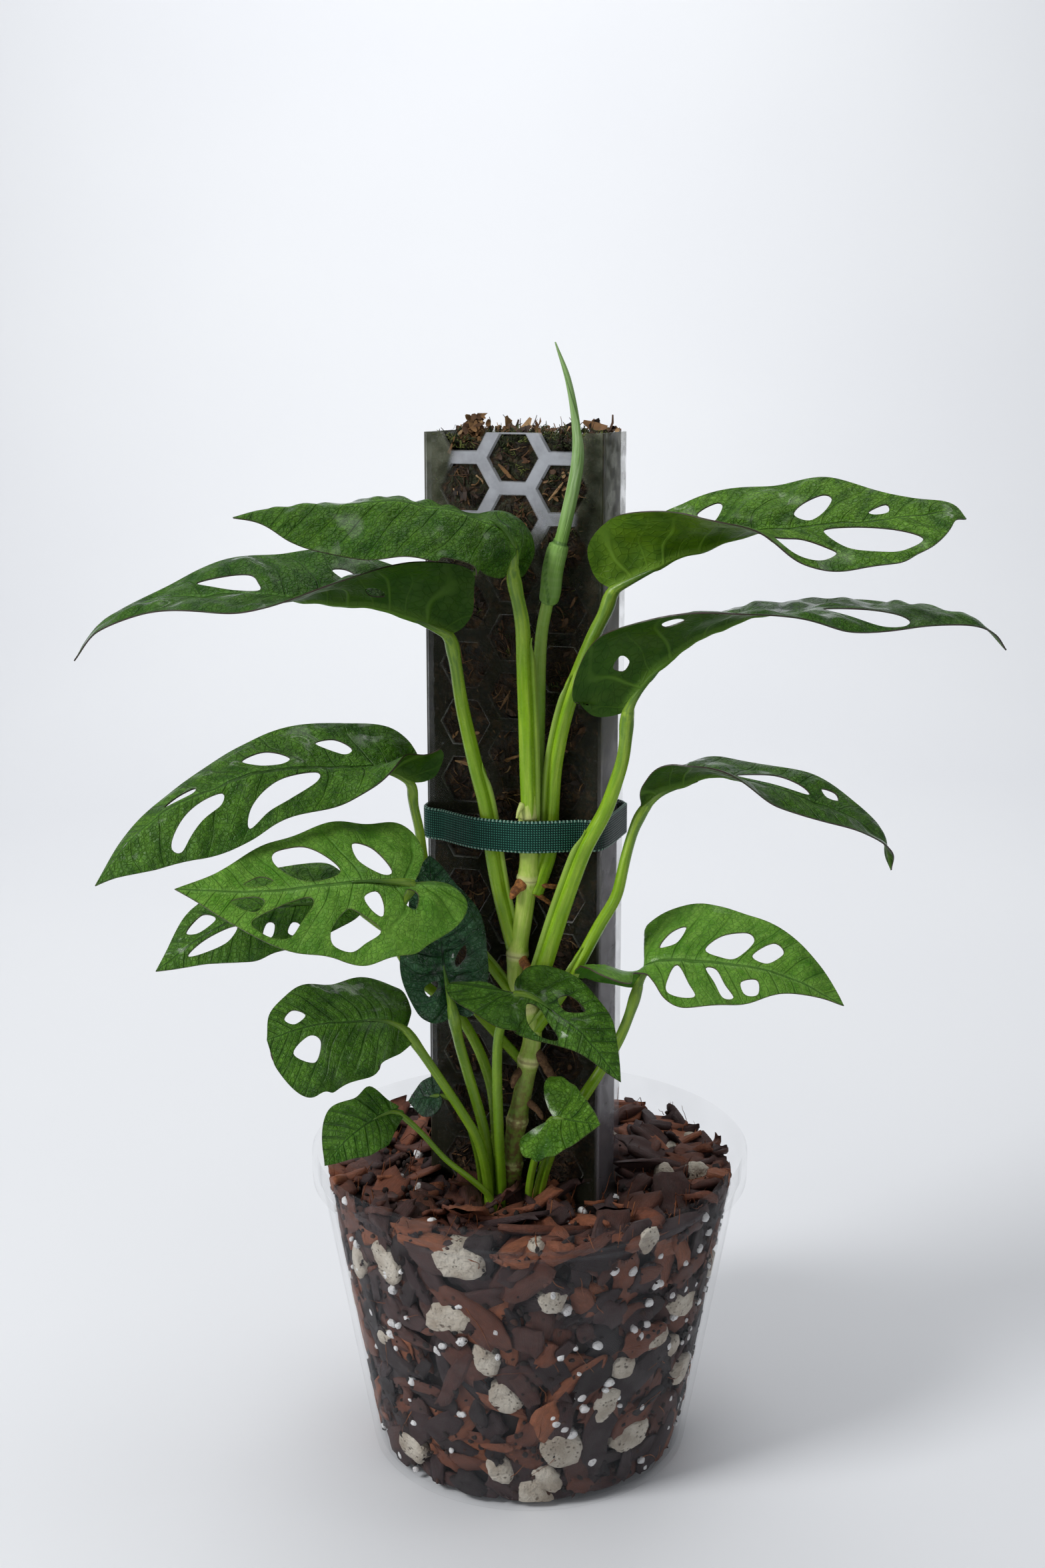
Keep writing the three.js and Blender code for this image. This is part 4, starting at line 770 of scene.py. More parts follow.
# Side veins: each leaves the midrib at one place and bends towards the tip. Gives the count of
# veins up to a point and the spacing there.
def sideVeins(s, v, length):
    spacing = max(5.5, length / 10.5)
    reach = np.abs(v)
    slants = leafBuild["slants"] + [[share * length, slant] for share, slant in leafBuild["farSlants"]]
    low, high = np.full(s.shape, -7.0), np.full(s.shape, length + 20.0)
    for _ in range(26):
        middle = (low + high) / 2
        ahead = middle + valueAt(slants, middle)[..., 0] * reach + 0.006 * reach**2 > s
        high, low = np.where(ahead, middle, high), np.where(ahead, low, middle)
    start = (low + high) / 2
    count = np.where(start > 0, start / spacing, start / 2.3)
    return count + np.where(v < 0, 0.62, 0.25), spacing


# The flat net of a blade: an even grid, with finer rows along the midrib
def bladeNet(leaf, length):
    build, step = leafBuild, leafBuild["grid"]
    mirrored = [[s, -v] for s, v in leaf["farEdge"]]
    nearEdge, farEdge = (spaced(smoothLine([[0, 0]] + edge + [[length, 0]]), build["outlineStep"])
                         for edge in (leaf["nearEdge"], mirrored))
    outline = np.vstack([nearEdge, farEdge[-2:0:-1]])
    holes = [spaced(smoothLine(hole, closed=True), build["holeStep"])[:-1] for hole in leaf["holes"]]
    rims = np.vstack([outline] + holes)
    rows = np.arange(outline[:, 1].min(), outline[:, 1].max(), step * 0.866)
    inner = np.array(
        [(s, v) for v in build["ribRows"] for s in np.arange(0.4, length, step)]
        + [(s + 0.5 * step * (i % 2), v) for i, v in enumerate(rows) if abs(v) > build["ribRoom"]
           for s in np.arange(outline[:, 0].min(), length, step)])
    inner = inner[onSheet(inner, outline, holes)]
    inner = inner[gapTo(inner, rims) > build["rimGap"]]
    flat, triangles, rim = flatSheet(outline, holes, inner)
    return flat, triangles, rim, gapTo(flat, rims)


def bladePart(leaf, index):
    at, length = bladeSurface(leaf)
    build, side = leafBuild, leaf["side"]
    flat, triangles, rim, margin = bladeNet(leaf, length)
    s, v = flat.T
    centre = at(s, v)
    normal = unit(np.cross(at(s + 0.4, v) - at(s - 0.4, v), at(s, v + 0.4) - at(s, v - 0.4))) * -side
    count, spacing = sideVeins(s, v, length)
    inward = smoothstep(0, 5, margin)
    share = np.clip(s / length, 0, 1)
    drift = noiseAt(s / 17, v / 13, index * 5.3)
    fine = noiseAt(s / 5.5, v / 5.5, index * 3.1 + 9)
    count = count + 0.3 * drift
    quilt = (0.5 - 0.5 * np.cos(math.tau * count)) * smoothstep(0.8, 7, np.abs(v)) * inward
    lift = build["quilting"] * quilt * (1 + 1.5 * drift) * spacing / 12
    lift += (1.7 * drift + 0.6 * fine) * inward * leaf.get("wavy", 1)
    rib = bell(v, 1.1)
    ridge = build["ribRidge"] * (1 - 0.85 * share) * min(1, length / 90) * rib * smoothstep(0, 2.5, margin)
    channel = build["ribChannel"] * (1 - 0.6 * share) * rib * inward
    half, size = build["thickness"] / 2, len(flat)
    top = centre + normal * (lift + half - channel)[:, None]
    under = centre + normal * (lift - half - ridge)[:, None]
    a, b = rim.T
    faces, walls = triangles[:, ::-side], stacked(b, a, a + size, b + size)[:, ::-side]
    groups = [faces, faces[:, ::-1] + size, walls]
    veins = stacked(count, spacing, (1.15 - 0.8 * share) * min(1, 0.35 + length / 150))
    made = part(np.vstack([top, under]), groups, places=np.tile(stacked(s, v, margin), (2, 1)),
                veins=np.tile(veins, (2, 1)), tint=leaf.get("shade", 0),
                look=np.repeat([0, 1, 2], [len(g) for g in groups]), sharp=np.vstack([rim, rim + size]))
    s = np.arange(min(24, length * 0.3), 1, -2.0)
    middle = at(s, 0 * s)
    return made, middle - 0.5 * unit(at(s, 0 * s + 3) + at(s, 0 * s - 3) - 2 * middle)


# A stalk under the blade and down to the stem: a thicker joint under the blade, then smooth, then
# a sheath with two lips along its facing side
def stalkParts(leaf, lower, look):
    build = leafBuild
    stem = spaced(smoothLine(leaf["stalk"]), build["stalkStep"])
    radius = valueAt(leaf["radii"], np.linspace(0, 1, len(stem)))[:, 0]
    top = leaf["radii"][0][1]
    radius = radius + 0.22 * top * bell(runOf(stem) - 5, 4.5)
    line = np.vstack([lower, stem])
    radius = np.concatenate([np.linspace(0.25, top * 0.85, len(lower)), radius])
    for _ in range(4):
        line[1:-1] = (line[:-2] + 2 * line[1:-1] + line[2:]) / 4
    under, whole = runOf(line)[[len(lower), -1]]
    begin = under + sheathTops.get(leaf["name"], build["plainSheath"]) * (whole - under)

    def sheath(along, angle):
        depth = smoothstep(begin - 1, begin + 3, along)
        face = (angle + math.pi) % math.tau - math.pi
        lips = 0.16 * bell(np.abs(face) - 0.72, 0.22) - 0.1 * bell(face, 0.35)
        groove = -0.07 * bell(face, 0.4) * smoothstep(under + 6, under + 20, along)
        ribs = 0.012 * np.cos(angle * 8) * smoothstep(under, under + 12, along)
        return 1 + lips * depth + groove * (1 - depth) + ribs

    winged = leaf["name"] in sheathTops
    facing = (-leaf["side"], -0.4, 0.1) if winged else (0.2, -1, 0.1)
    made = tube(line, radius, sides=build["stalkSides"], facing=facing, section=sheath, look=look)
    veins = blankVeins(made)
    veins[:, 0] = made["places"][:, 0] - under
    veins[:, 1] = smoothstep(begin - 1, begin + 3, made["places"][:, 0])
    return [made, wingPart(line, radius, begin, facing, look)] if winged else [made]


# The sheath's thin free edge, from a pointed tip down to the stem
def wingPart(line, radius, begin, facing, look):
    sides, thin = leafBuild["wingSides"], leafBuild["wingThin"]
    run = runOf(line)
    kept = run > begin - 3
    outs = carried(line, facing)[0][kept]
    gone = run[kept] - run[kept][0]
    wide = 0.15 + 2.3 * smoothstep(0, 10, gone) - 0.8 * smoothstep(30, 100, gone)

    def blade(along, angle):
        return thin / np.sqrt((thin * np.cos(angle) / wide[:, None]) ** 2 + np.sin(angle) ** 2)

    away = radius[kept] - 0.2 + 1.1 * np.exp(-gone / 2.5)
    made = tube(line[kept] + outs * away[:, None], np.ones(kept.sum()), sides=sides, facing=outs[0],
                section=blade, look=look)
    veins = blankVeins(made)
    veins[:, 0] = made["places"][:, 0] + 20
    veins[:-2, 2] = np.tile(np.cos(np.arange(sides) / sides * math.tau), kept.sum())
    return made


# Leaf tones. On the tops, dark, mid and light are partly painted light and shade of the uneven blades. light
# is partly a painted sheen, and on the dark look it is a painted reflection. groove is a painted shade in the
# vein grooves. under is kept dark, partly a painted shade under the blades, and is paler on young leaves,
# partly painted light through the thin blade. The pale look is lighter overall, and on leaf_low_right that
# paleness is a painted sheen.
leafLooks = {
    "youngLeaf": dict(
        slot="leaf", dark=(24, 66, 5), mid=(46, 97, 8), light=(132, 184, 56), groove=(20, 54, 6),
        vein=(112, 164, 58), under=(90, 122, 20), underVein=(110, 146, 46), rim=(52, 54, 26),
        relief=2.2, shine=0.25, gloss=(0.28, 0.44), wet=0.7),
    "leaf": dict(
        slot="leaf", dark=(25, 64, 8), mid=(47, 97, 13), light=(116, 168, 52), groove=(14, 42, 6),
        vein=(98, 150, 54), under=(52, 80, 12), underVein=(84, 120, 36), rim=(48, 50, 26),
        relief=1.7, shine=0.3, gloss=(0.28, 0.44), wet=0.7),
    "paleLeaf": dict(
        slot="leaf_pale", dark=(60, 112, 24), mid=(92, 152, 34), light=(146, 190, 82), groove=(40, 86, 20),
        vein=(136, 184, 92), under=(64, 114, 26), underVein=(92, 140, 48), rim=(74, 62, 44),
        relief=0.9, shine=0.2, gloss=(0.36, 0.52), wet=0.3),
    "darkLeaf": dict(
        slot="leaf_dark", dark=(6, 32, 13), mid=(14, 54, 24), light=(78, 134, 88), groove=(5, 24, 12),
        vein=(58, 112, 62), under=(28, 62, 20), underVein=(54, 94, 40), rim=(30, 42, 28),
        relief=3.6, shine=0.6, gloss=(0.12, 0.26), wet=1.0),
}
# light that passes through a thin blade
thinLeaf = dict(Subsurface_Weight=0.22, Subsurface_Radius=(0.5, 1.0, 0.15), Subsurface_Scale=0.0016)


def leafTop(kind, look):
    material, tree = newMaterial(kind + "Top")
    dark, light, groove = look["dark"], look["light"], look["groove"]
    place = objectPlace(tree)
    lines = useGroup(tree, leafVeins, Width=1.0, Net=0.5)
    shades = useGroup(tree, mottle, Size=30.0, Spread=0.2)
    sheenAndShadePatches = useGroup(tree, mottle, Size=85.0, Spread=0.18, Shift=2.0)
    across, count = axes(attribute(tree, placeName))[1], axes(attribute(tree, veinName))[0]
    fan = follow("ShaderNodeCombineXYZ", {0: across, 1: times(count, 12.0)})[0]
    veinShadeStreaks = useGroup(tree, streaks, Vector=fan, Long=0.07, Wide=0.24)
    # painted light and shade: the patches, the streaks along the side veins and the lighter panels between
    # them stand in for light falling on the uneven, quilted blade
    base = paint(
        blend(shades["Broad"], dark, look["mid"]),
        (sheenAndShadePatches["Broad"], 0.3, light),
        (veinShadeStreaks["Streak"], 0.45, light),
        (veinShadeStreaks["Fine"], 0.35, dark),
        (times(lines["Panel"], shades["Small"]), 0.4, light),
        (times(lines["Band"], shades["Small"]), 0.35, light),
        (sheenAndShadePatches["Small"], 0.3, dark),
        # painted shade: each leaf's tint darkens its whole top
        (attribute(tree, tintName, "Fac"), 1.0, dark),
        (noiseMask(place, 1300.0, 2.0, 0.3, 0.7), 0.3, dark),
        # painted shade: the net, the side veins and the midrib are darkened as shade in their grooves
        (lines["Net"], 0.14, groove),
        (lines["Side"], 0.25, groove),
        (lines["Flank"], 0.35, look["vein"]),
        (lines["Midrib"], 0.6, groove),
        (lines["Margin"], 0.35, look["rim"]))
    bumps = times(maths("ADD", shades["Small"], sheenAndShadePatches["Small"]), 0.4)
    return finishMaterial(
        material, height=maths("SUBTRACT", bumps, lines["Height"]), strength=0.8,
        distance=0.0008 * look["relief"], Base_Color=base, Roughness=ranged(shades["Small"], *look["gloss"]),
        Coat_Weight=times(noiseMask(place, 55.0, 2.0, 0.54, 0.64), look["wet"]), Coat_IOR=1.33,
        Coat_Roughness=0.1, IOR=1.42, Specular_IOR_Level=look["shine"], **thinLeaf)


def leafUnder(kind, look):
    material, tree = newMaterial(kind + "Under")
    lines = useGroup(tree, leafVeins, Width=1.4, Net=0.34)
    shades = useGroup(tree, mottle, Size=30.0, Spread=0.2, Shift=3.0)
    vein = look["underVein"]
    # painted shade and light: the under tone is kept dark under the blade, and paler on young leaves for
    # light through the blade
    base = paint(
        blend(times(shades["Broad"], 0.4), look["under"], look["mid"]),
        (shades["Small"], 0.5, look["dark"]),
        (lines["Net"], 0.15, look["groove"]),
        (lines["Side"], 0.6, vein),
        (lines["Flank"], 0.6, vein),
        (lines["Midrib"], 1.0, vein))
    return finishMaterial(
        material, height=lines["Height"], strength=0.5, distance=0.0008, Base_Color=base,
        Roughness=ranged(shades["Small"], 0.42, 0.55), IOR=1.4, Specular_IOR_Level=0.2, **thinLeaf)


def leafRim(kind, look):
    material, tree = newMaterial(kind + "Rim")
    shades = useGroup(tree, mottle, Size=120.0, Spread=0.15)
    return finishMaterial(material, Base_Color=blend(shades["Broad"], look["rim"], (56, 36, 34)),
                          Roughness=ranged(shades["Small"], 0.4, 0.6))


# Green stalk skin: lengthwise streaks, duller at the joint under the blade, paler in the sheath,
# and greener again near the mix
def stalkMaterial(name, neck, joint, skin, streak):
    material, tree = newMaterial(name)
    lines = useGroup(tree, streaks, Vector=attribute(tree, placeName), Long=0.05, Wide=2.2)
    shades = useGroup(tree, mottle, Size=60.0, Spread=0.2)
    vein = axes(attribute(tree, veinName))
    base = paint(
        blend(between(vein[0], 6.0, 38.0), neck, skin),
        (lines["Streak"], 0.6, streak),
        (lines["Fine"], 0.3, joint),
        (shades["Broad"], 0.35, joint),
        (fading(vein[0], -15.0, 1.0), 0.9, (50, 88, 24)),
        (between(vein[2], 0.8, 1.0), 0.5, (150, 176, 90)),
        (fading(axes(objectPlace(tree))[2], 0.14, 0.22), 0.45, (66, 106, 16)))
    return finishMaterial(
        material, height=lines["Fine"], strength=0.1, distance=0.0004, Base_Color=base,
        Roughness=ranged(shades["Small"], 0.2, 0.32), IOR=1.42, Specular_IOR_Level=0.4)


stalkSkin = stalkMaterial("stalkSkin", (108, 142, 60), (86, 128, 22), (136, 180, 28), (184, 214, 74))
leafSets = {kind: [make(kind, look) for make in (leafTop, leafUnder, leafRim)]
            for kind, look in leafLooks.items()}
for index, leaf in enumerate(leaves):
    blade, lower = bladePart(leaf, index)
    leafParts = [blade] + stalkParts(leaf, lower, look=3)
    for made in leafParts:
        made["points"] = turned(made["points"])
    makePiece(leaf["name"].replace("leaf_", "vine_leaf_"), leafParts, leafSets[leaf["look"]] + [stalkSkin],
              leaf["name"])
print("leaves are cut and bent")


# Main stem with its node rings and roots, and the rolled new leaf

stemBuild = {
    "points": [
        [-7, -27, 100], [-7, -27, 133], [-5, -28, 150], [-3, -29, 161], [-0.5, -30, 176], [1, -30, 187],
        [-0.5, -30.5, 198], [-5, -29, 208], [-5, -28.5, 219], [-3, -29, 233], [-1, -29, 248],
        [-0.5, -29.7, 257], [-0.5, -30, 276]],
    "nodes": [114, 131, 150, 176, 198, 219, 250, 272],
    "radius": 3.7,
    "swell": 0.95,
    "sides": 32,
    # path, radius at the start and the end, and the number of the material
    "roots": [
        [[[-3, -31, 248.4], [-5.6, -33.4, 246.4], [-7.6, -34.8, 243.2]], 2.6, 1.2, 1],
        [[[0, -30, 249], [4, -31, 248], [8, -30, 247], [13, -27, 246]], 1.15, 0.8, 1],
        [[[0, -30, 246], [3, -31, 244], [6, -30, 241.5], [10, -27.5, 238]], 1.25, 0.85, 1],
        [[[-4, -30, 219], [-1, -34, 215], [1, -36, 212]], 2.2, 1.7, 1],
        [[[1, -30, 181], [4, -32, 178], [6, -31, 174], [9, -31.5, 169], [12, -30.5, 164]], 2.1, 1.5, 2],
        [[[-2, -30, 174], [-6, -34, 170], [-7, -35, 166]], 1.9, 1.1, 2],
        [[[-3, -29, 160], [3, -33, 156], [5, -35, 153]], 1.7, 1.1, 2],
    ],
    # the pale collar where the newest stalk leaves the stem, and its bud
    "collar": [[-0.6, -32.2, 284], [-0.5, -31.2, 274.6]], "collarRadii": [2.9, 3.7],
    "bud": [[-3, -33.6, 280.5], [-4.4, -35.2, 278], [-5.2, -36, 275.4]], "budRadii": [1.3, 0.4],
}
rolledBuild = {
    "stalk": [[7, -30, 360], [4.5, -28, 347], [3.6, -27, 333], [3.2, -26.6, 307], [2.6, -27.5, 283],
              [0.8, -29.3, 272]],
    "stalkRadii": [2.3, 2.6],
    "blade": [[7, -30, 357], [8, -31, 362], [9, -32, 371], [13, -32.5, 388], [17, -33, 408],
              [17, -32, 422], [14, -31, 439], [9, -30, 453]],
    "radii": [[0, 2.4], [0.012, 3.7], [0.05, 3.9], [0.2, 3.7], [0.229, 3.5], [0.236, 2.6], [0.45, 2.4],
              [0.55, 2.2], [0.7, 1.6], [0.88, 1.0], [1, 0.25]],
    "turns": 1.3,
    "lap": 0.34,     # height of the rolled margin above the layer under it
    "sides": 40,
}


def stemPart():
    build, sides = stemBuild, stemBuild["sides"]
    line = spaced(smoothLine(build["points"]), 1.2)
    gap = np.abs(line[:, 2, None] - np.array(build["nodes"])).min(axis=1)
    radius = build["radius"] + build["swell"] * bell(gap, 3.2) - 0.35 * bell(gap - 1.6, 0.7)

    def skin(along, angle):
        return 1 + 0.018 * np.cos(5 * angle + along / 30) + 0.012 * np.sin(11 * angle)

    made = tube(line, radius, sides=sides, section=skin)
    blankVeins(made)[:-2, :2] = np.repeat(stacked(gap, line[:, 2]), sides, axis=0)
    return made


def rootPart(path, start, end, look, index):
    line = spaced(smoothLine(path), 0.8)
    lumps = noiseAt(np.arange(len(line)) / 2.6, index * 7.7, 0)
    radius = np.linspace(start, end, len(line)) * (1 + 0.22 * lumps)
    radius[-3:] *= [0.9, 0.7, 0.35]
    made = tube(line, radius, look=look)
    blankVeins(made)
    return made


def collarParts():
    build = stemBuild
    collar = tube(np.linspace(*build["collar"], 12), np.linspace(*build["collarRadii"], 12), sides=28)
    bud = tube(smoothLine(build["bud"], fineness=5), np.linspace(*build["budRadii"], 11))
    for made in (collar, bud):
        blankVeins(made)[:, :2] = (1.6, 280)
    collar["veins"][:, 0] = 1.2 + 0.2 * np.maximum(0, collar["points"][:, 2] - 275)
    return [collar, bud]


def rolledParts():
    build, sides = rolledBuild, rolledBuild["sides"]
    line = spaced(smoothLine(build["blade"]), 0.9)
    share = np.linspace(0, 1, len(line))
    length = runOf(line)[-1]

    def turn(along, angle):
        return (angle / math.tau + build["turns"] * along / length) % 1

    def lapped(along, angle):
        return 1 + build["lap"] * (turn(along, angle) - 0.5) + 0.03 * np.sin(3 * angle)

    blade = tube(line, valueAt(build["radii"], share)[:, 0], sides=sides, section=lapped)
    seam = turn(*blade["places"][:-2, :2].T)
    blankVeins(blade)[:-2, :2] = stacked(np.minimum(seam, 1 - seam), np.repeat(share, sides))
    stem = spaced(smoothLine(build["stalk"]), leafBuild["stalkStep"])
    stalk = tube(stem, np.linspace(*build["stalkRadii"], len(stem)), sides=24, look=1)
    blankVeins(stalk)[:, 0] = stalk["places"][:, 0]
    return [blade, stalk]


def stemMaterial():
    material, tree = newMaterial("stemSkin")
    vein = axes(attribute(tree, veinName))
    lines = useGroup(tree, streaks, Vector=attribute(tree, placeName), Long=0.06, Wide=2.4)
    shades = useGroup(tree, mottle, Size=90.0, Spread=0.14)
    scar = times(shades["Small"], between(vein[1], 130, 200, 0.95, 0.08))
    base = paint(
        blend(times(lines["Streak"], 0.6), (170, 204, 72), (220, 234, 126)),
        (shades["Broad"], 0.35, (116, 156, 36)),
        (fading(vein[1], 150, 205), 0.75, (112, 140, 52)),     # duller near the mix
        (fading(vein[0], 0.9, 2.6), 0.8, (222, 224, 150)),     # the node rings
        (fading(vein[0], 0.2, 0.8), 0.5, (120, 108, 58)),
        (scar, 1.0, (122, 92, 58)))
    return finishMaterial(material, height=maths("ADD", lines["Fine"], scar), strength=0.25, Base_Color=base,
                          Roughness=ranged(scar, 0.28, 0.7), IOR=1.42)


# Dry and half-dry roots: tan to brown bark with fine rings
def rootMaterial(name, pale, dark):
    material, tree = newMaterial(name)
    lines = useGroup(tree, streaks, Vector=attribute(tree, placeName), Long=0.9, Wide=0.8)
    shades = useGroup(tree, mottle, Size=160.0, Spread=0.16)
    base = paint(blend(lines["Streak"], pale, dark), (shades["Small"], 0.5, (70, 44, 26)))
    return finishMaterial(material, height=lines["Fine"], strength=0.5, distance=0.0006, Base_Color=base,
                          Roughness=ranged(shades["Broad"], 0.55, 0.8), IOR=1.4)


def rolledMaterial():
    material, tree = newMaterial("rolledLeafSkin")
    vein, place = axes(attribute(tree, veinName)), attribute(tree, placeName)
    lines = useGroup(tree, streaks, Vector=place, Long=0.05, Wide=2.5)
    shades = useGroup(tree, mottle, Size=80.0, Spread=0.2)
    bands = between(maths("SINE", times(axes(place)[0], math.tau / 3.1)), -0.2, 1.0)
    stepShadowGap = maths("ABSOLUTE", maths("SUBTRACT", vein[1], 0.238))
    base = paint(
        blend(between(vein[1], 0.15, 0.5), (128, 174, 68), (156, 184, 132)),
        (lines["Streak"], 0.7, (104, 150, 54)),
        (shades["Broad"], 0.4, (150, 184, 112)),
        (fading(vein[0], 0.006, 0.03), 0.6, (66, 106, 48)),                   # the seam
        (times(bands, fading(vein[1], 0.2, 0.24)), 0.12, (176, 206, 140)),    # faint rings at the foot
        # a dark line at the sleeve's upper step: a painted shadow
        (fading(stepShadowGap, 0.003, 0.01), 0.6, (56, 92, 44)))
    return finishMaterial(
        material, height=lines["Streak"], strength=0.4, distance=0.0006, Base_Color=base,
        Roughness=ranged(shades["Small"], 0.4, 0.55), IOR=1.4, Specular_IOR_Level=0.3)


stemParts = [stemPart()] + collarParts()
stemParts += [rootPart(*root, index) for index, root in enumerate(stemBuild["roots"])]
rolledMade = rolledParts()
for made in stemParts + rolledMade:
    made["points"] = turned(made["points"])
rolledStalk = stalkMaterial("rolledStalk", (150, 190, 84), (150, 190, 84), (158, 196, 76), (196, 220, 120))
stemSkins = [stemMaterial(), rootMaterial("youngRoot", (196, 130, 70), (138, 84, 46)),
             rootMaterial("oldRoot", (128, 98, 66), (92, 64, 42))]
makePiece("vine_stem", stemParts, stemSkins, "main_stem")
makePiece("vine_leaf_rolled", rolledMade, [rolledMaterial(), rolledStalk], "leaf_rolled")
print("stem, roots and rolled leaf are grown")


# Pole: clear perforated panel and back shell

poleBuild = {
    "width": 72, "sideDepth": 28, "depth": 42, "front": -20, "bottom": 8, "top": 420,
    "wall": 2, "clearance": 0.3,
    "hexAcross": 17.4, "hexPitch": 22.7, "hexColumn": 19.7, "hexFirst": 410.6, "hexLast": 120,
    "cutEdge": 0.35,     # width of the pale chamfer round each hole
    "rings": 22,
}


def poleLine(inset, count=40, front=None):
    build = poleBuild
    half = build["width"] / 2 - inset
    back = build["front"] + build["sideDepth"]
    bulge = build["depth"] - build["sideDepth"] - inset
    front = build["front"] + inset if front is None else front
    angles = np.linspace(0, math.pi, count)
    curve = stacked(half * np.cos(angles), back + bulge * np.sin(angles))
    return np.vstack([[half, front], curve, [-half, front]])


def hexMiddles():
    build = poleBuild
    column, pitch = build["hexColumn"], build["hexPitch"]
    middles, row = [], 0
    z = build["hexFirst"] + pitch / 2
    while z > build["hexLast"]:
        middles += [(0, z)] if row % 2 else [(-column, z), (column, z)]
        row += 1
        z = build["hexFirst"] + pitch / 2 - row * pitch / 2
    return np.array(middles)


# How far inside the nearest hexagonal hole a point of the panel is; outside it is below zero
def hexDepth(x, z):
    across, up = np.abs(stacked(x, z)[..., None, :] - hexMiddles()).T
    gaps = poleBuild["hexAcross"] / 2 - np.maximum(up, 0.5 * up + 0.866 * across)
    return gaps.T.max(axis=-1)


def shellPart():
    build = poleBuild
    slot = build["front"] + build["wall"] + build["clearance"]
    outer, inner = poleLine(0, front=slot), poleLine(build["wall"], front=slot)[::-1]
    ring = np.vstack([outer, inner])
    heights = np.linspace(build["bottom"], build["top"], build["rings"])
    points = np.array([(x, y, z) for z in heights for x, y in ring])
    count, half = len(ring), len(outer)
    sides = gridFaces(len(heights), count, closed=True)
    k = np.arange(half - 1)
    caps = stacked(k, count - 1 - k, count - 2 - k, k + 1)
    ends = (0, (len(heights) - 1) * count)
    sharp = [stacked(k, k + 1) + wall + end for end in ends for wall in (0, half)]
    ups = np.arange(len(heights) - 1) * count
    sharp += [stacked(ups, ups + count) + corner for corner in (0, half - 1, half, count - 1)]
    looks = np.zeros(len(sides) + 2 * len(caps))
    looks[:len(sides)] = np.isin(np.arange(len(sides)) % count, (half - 1, half, count - 2, count - 1))
    return part(points, [sides, caps, caps[:, ::-1] + ends[1]], look=looks, sharp=np.vstack(sharp))


# The front sheet, with a chamfer round every hole; its cut faces have the second material and its
# side edges the third
def panelPart():
    build = poleBuild
    middles = hexMiddles()
    angles = np.arange(6) * math.pi / 3
    hexagon = build["hexAcross"] / math.sqrt(3) * stacked(np.cos(angles), np.sin(angles))
    half, low, high = build["width"] / 2, build["bottom"], build["top"]
    outline = np.array([(-half, low), (half, low), (half, high), (-half, high)], float)
    flat, triangles, rim = flatSheet(outline, [middle + hexagon for middle in middles], np.empty((0, 2)))
    size, cut = len(flat), build["cutEdge"]
    away = flat[:, None] - middles
    away = away[np.arange(size), np.linalg.norm(away, axis=-1).argmin(axis=1)]
    onHole = np.abs(hexDepth(*flat.T)) < 0.05
    wide = flat + unit(away) * cut * 1.15 * onHole[:, None]
    wide[:, 0] = np.where(onHole, wide[:, 0], flat[:, 0] - np.sign(flat[:, 0]) * cut)
    wide[:, 1] = np.minimum(wide[:, 1], high)
    layers = [stacked(places[:, 0], build["front"] + depth, places[:, 1])
              for places, depth in ((wide, 0), (flat, cut), (flat, build["wall"]))]
    a, b = rim.T
    ring = stacked(b, b + size, a + size, a)
    groups = [triangles, triangles[:, ::-1] + 2 * size, ring, ring + size]
    looks = np.zeros(sum(len(group) for group in groups))
    onSide = (np.abs(flat[a, 0]) > half - 0.1) & (np.abs(flat[b, 0]) > half - 0.1)
    looks[2 * len(triangles):] = np.tile(np.where(onSide, 2, 1), 2)
    return part(np.vstack(layers), groups, look=looks)


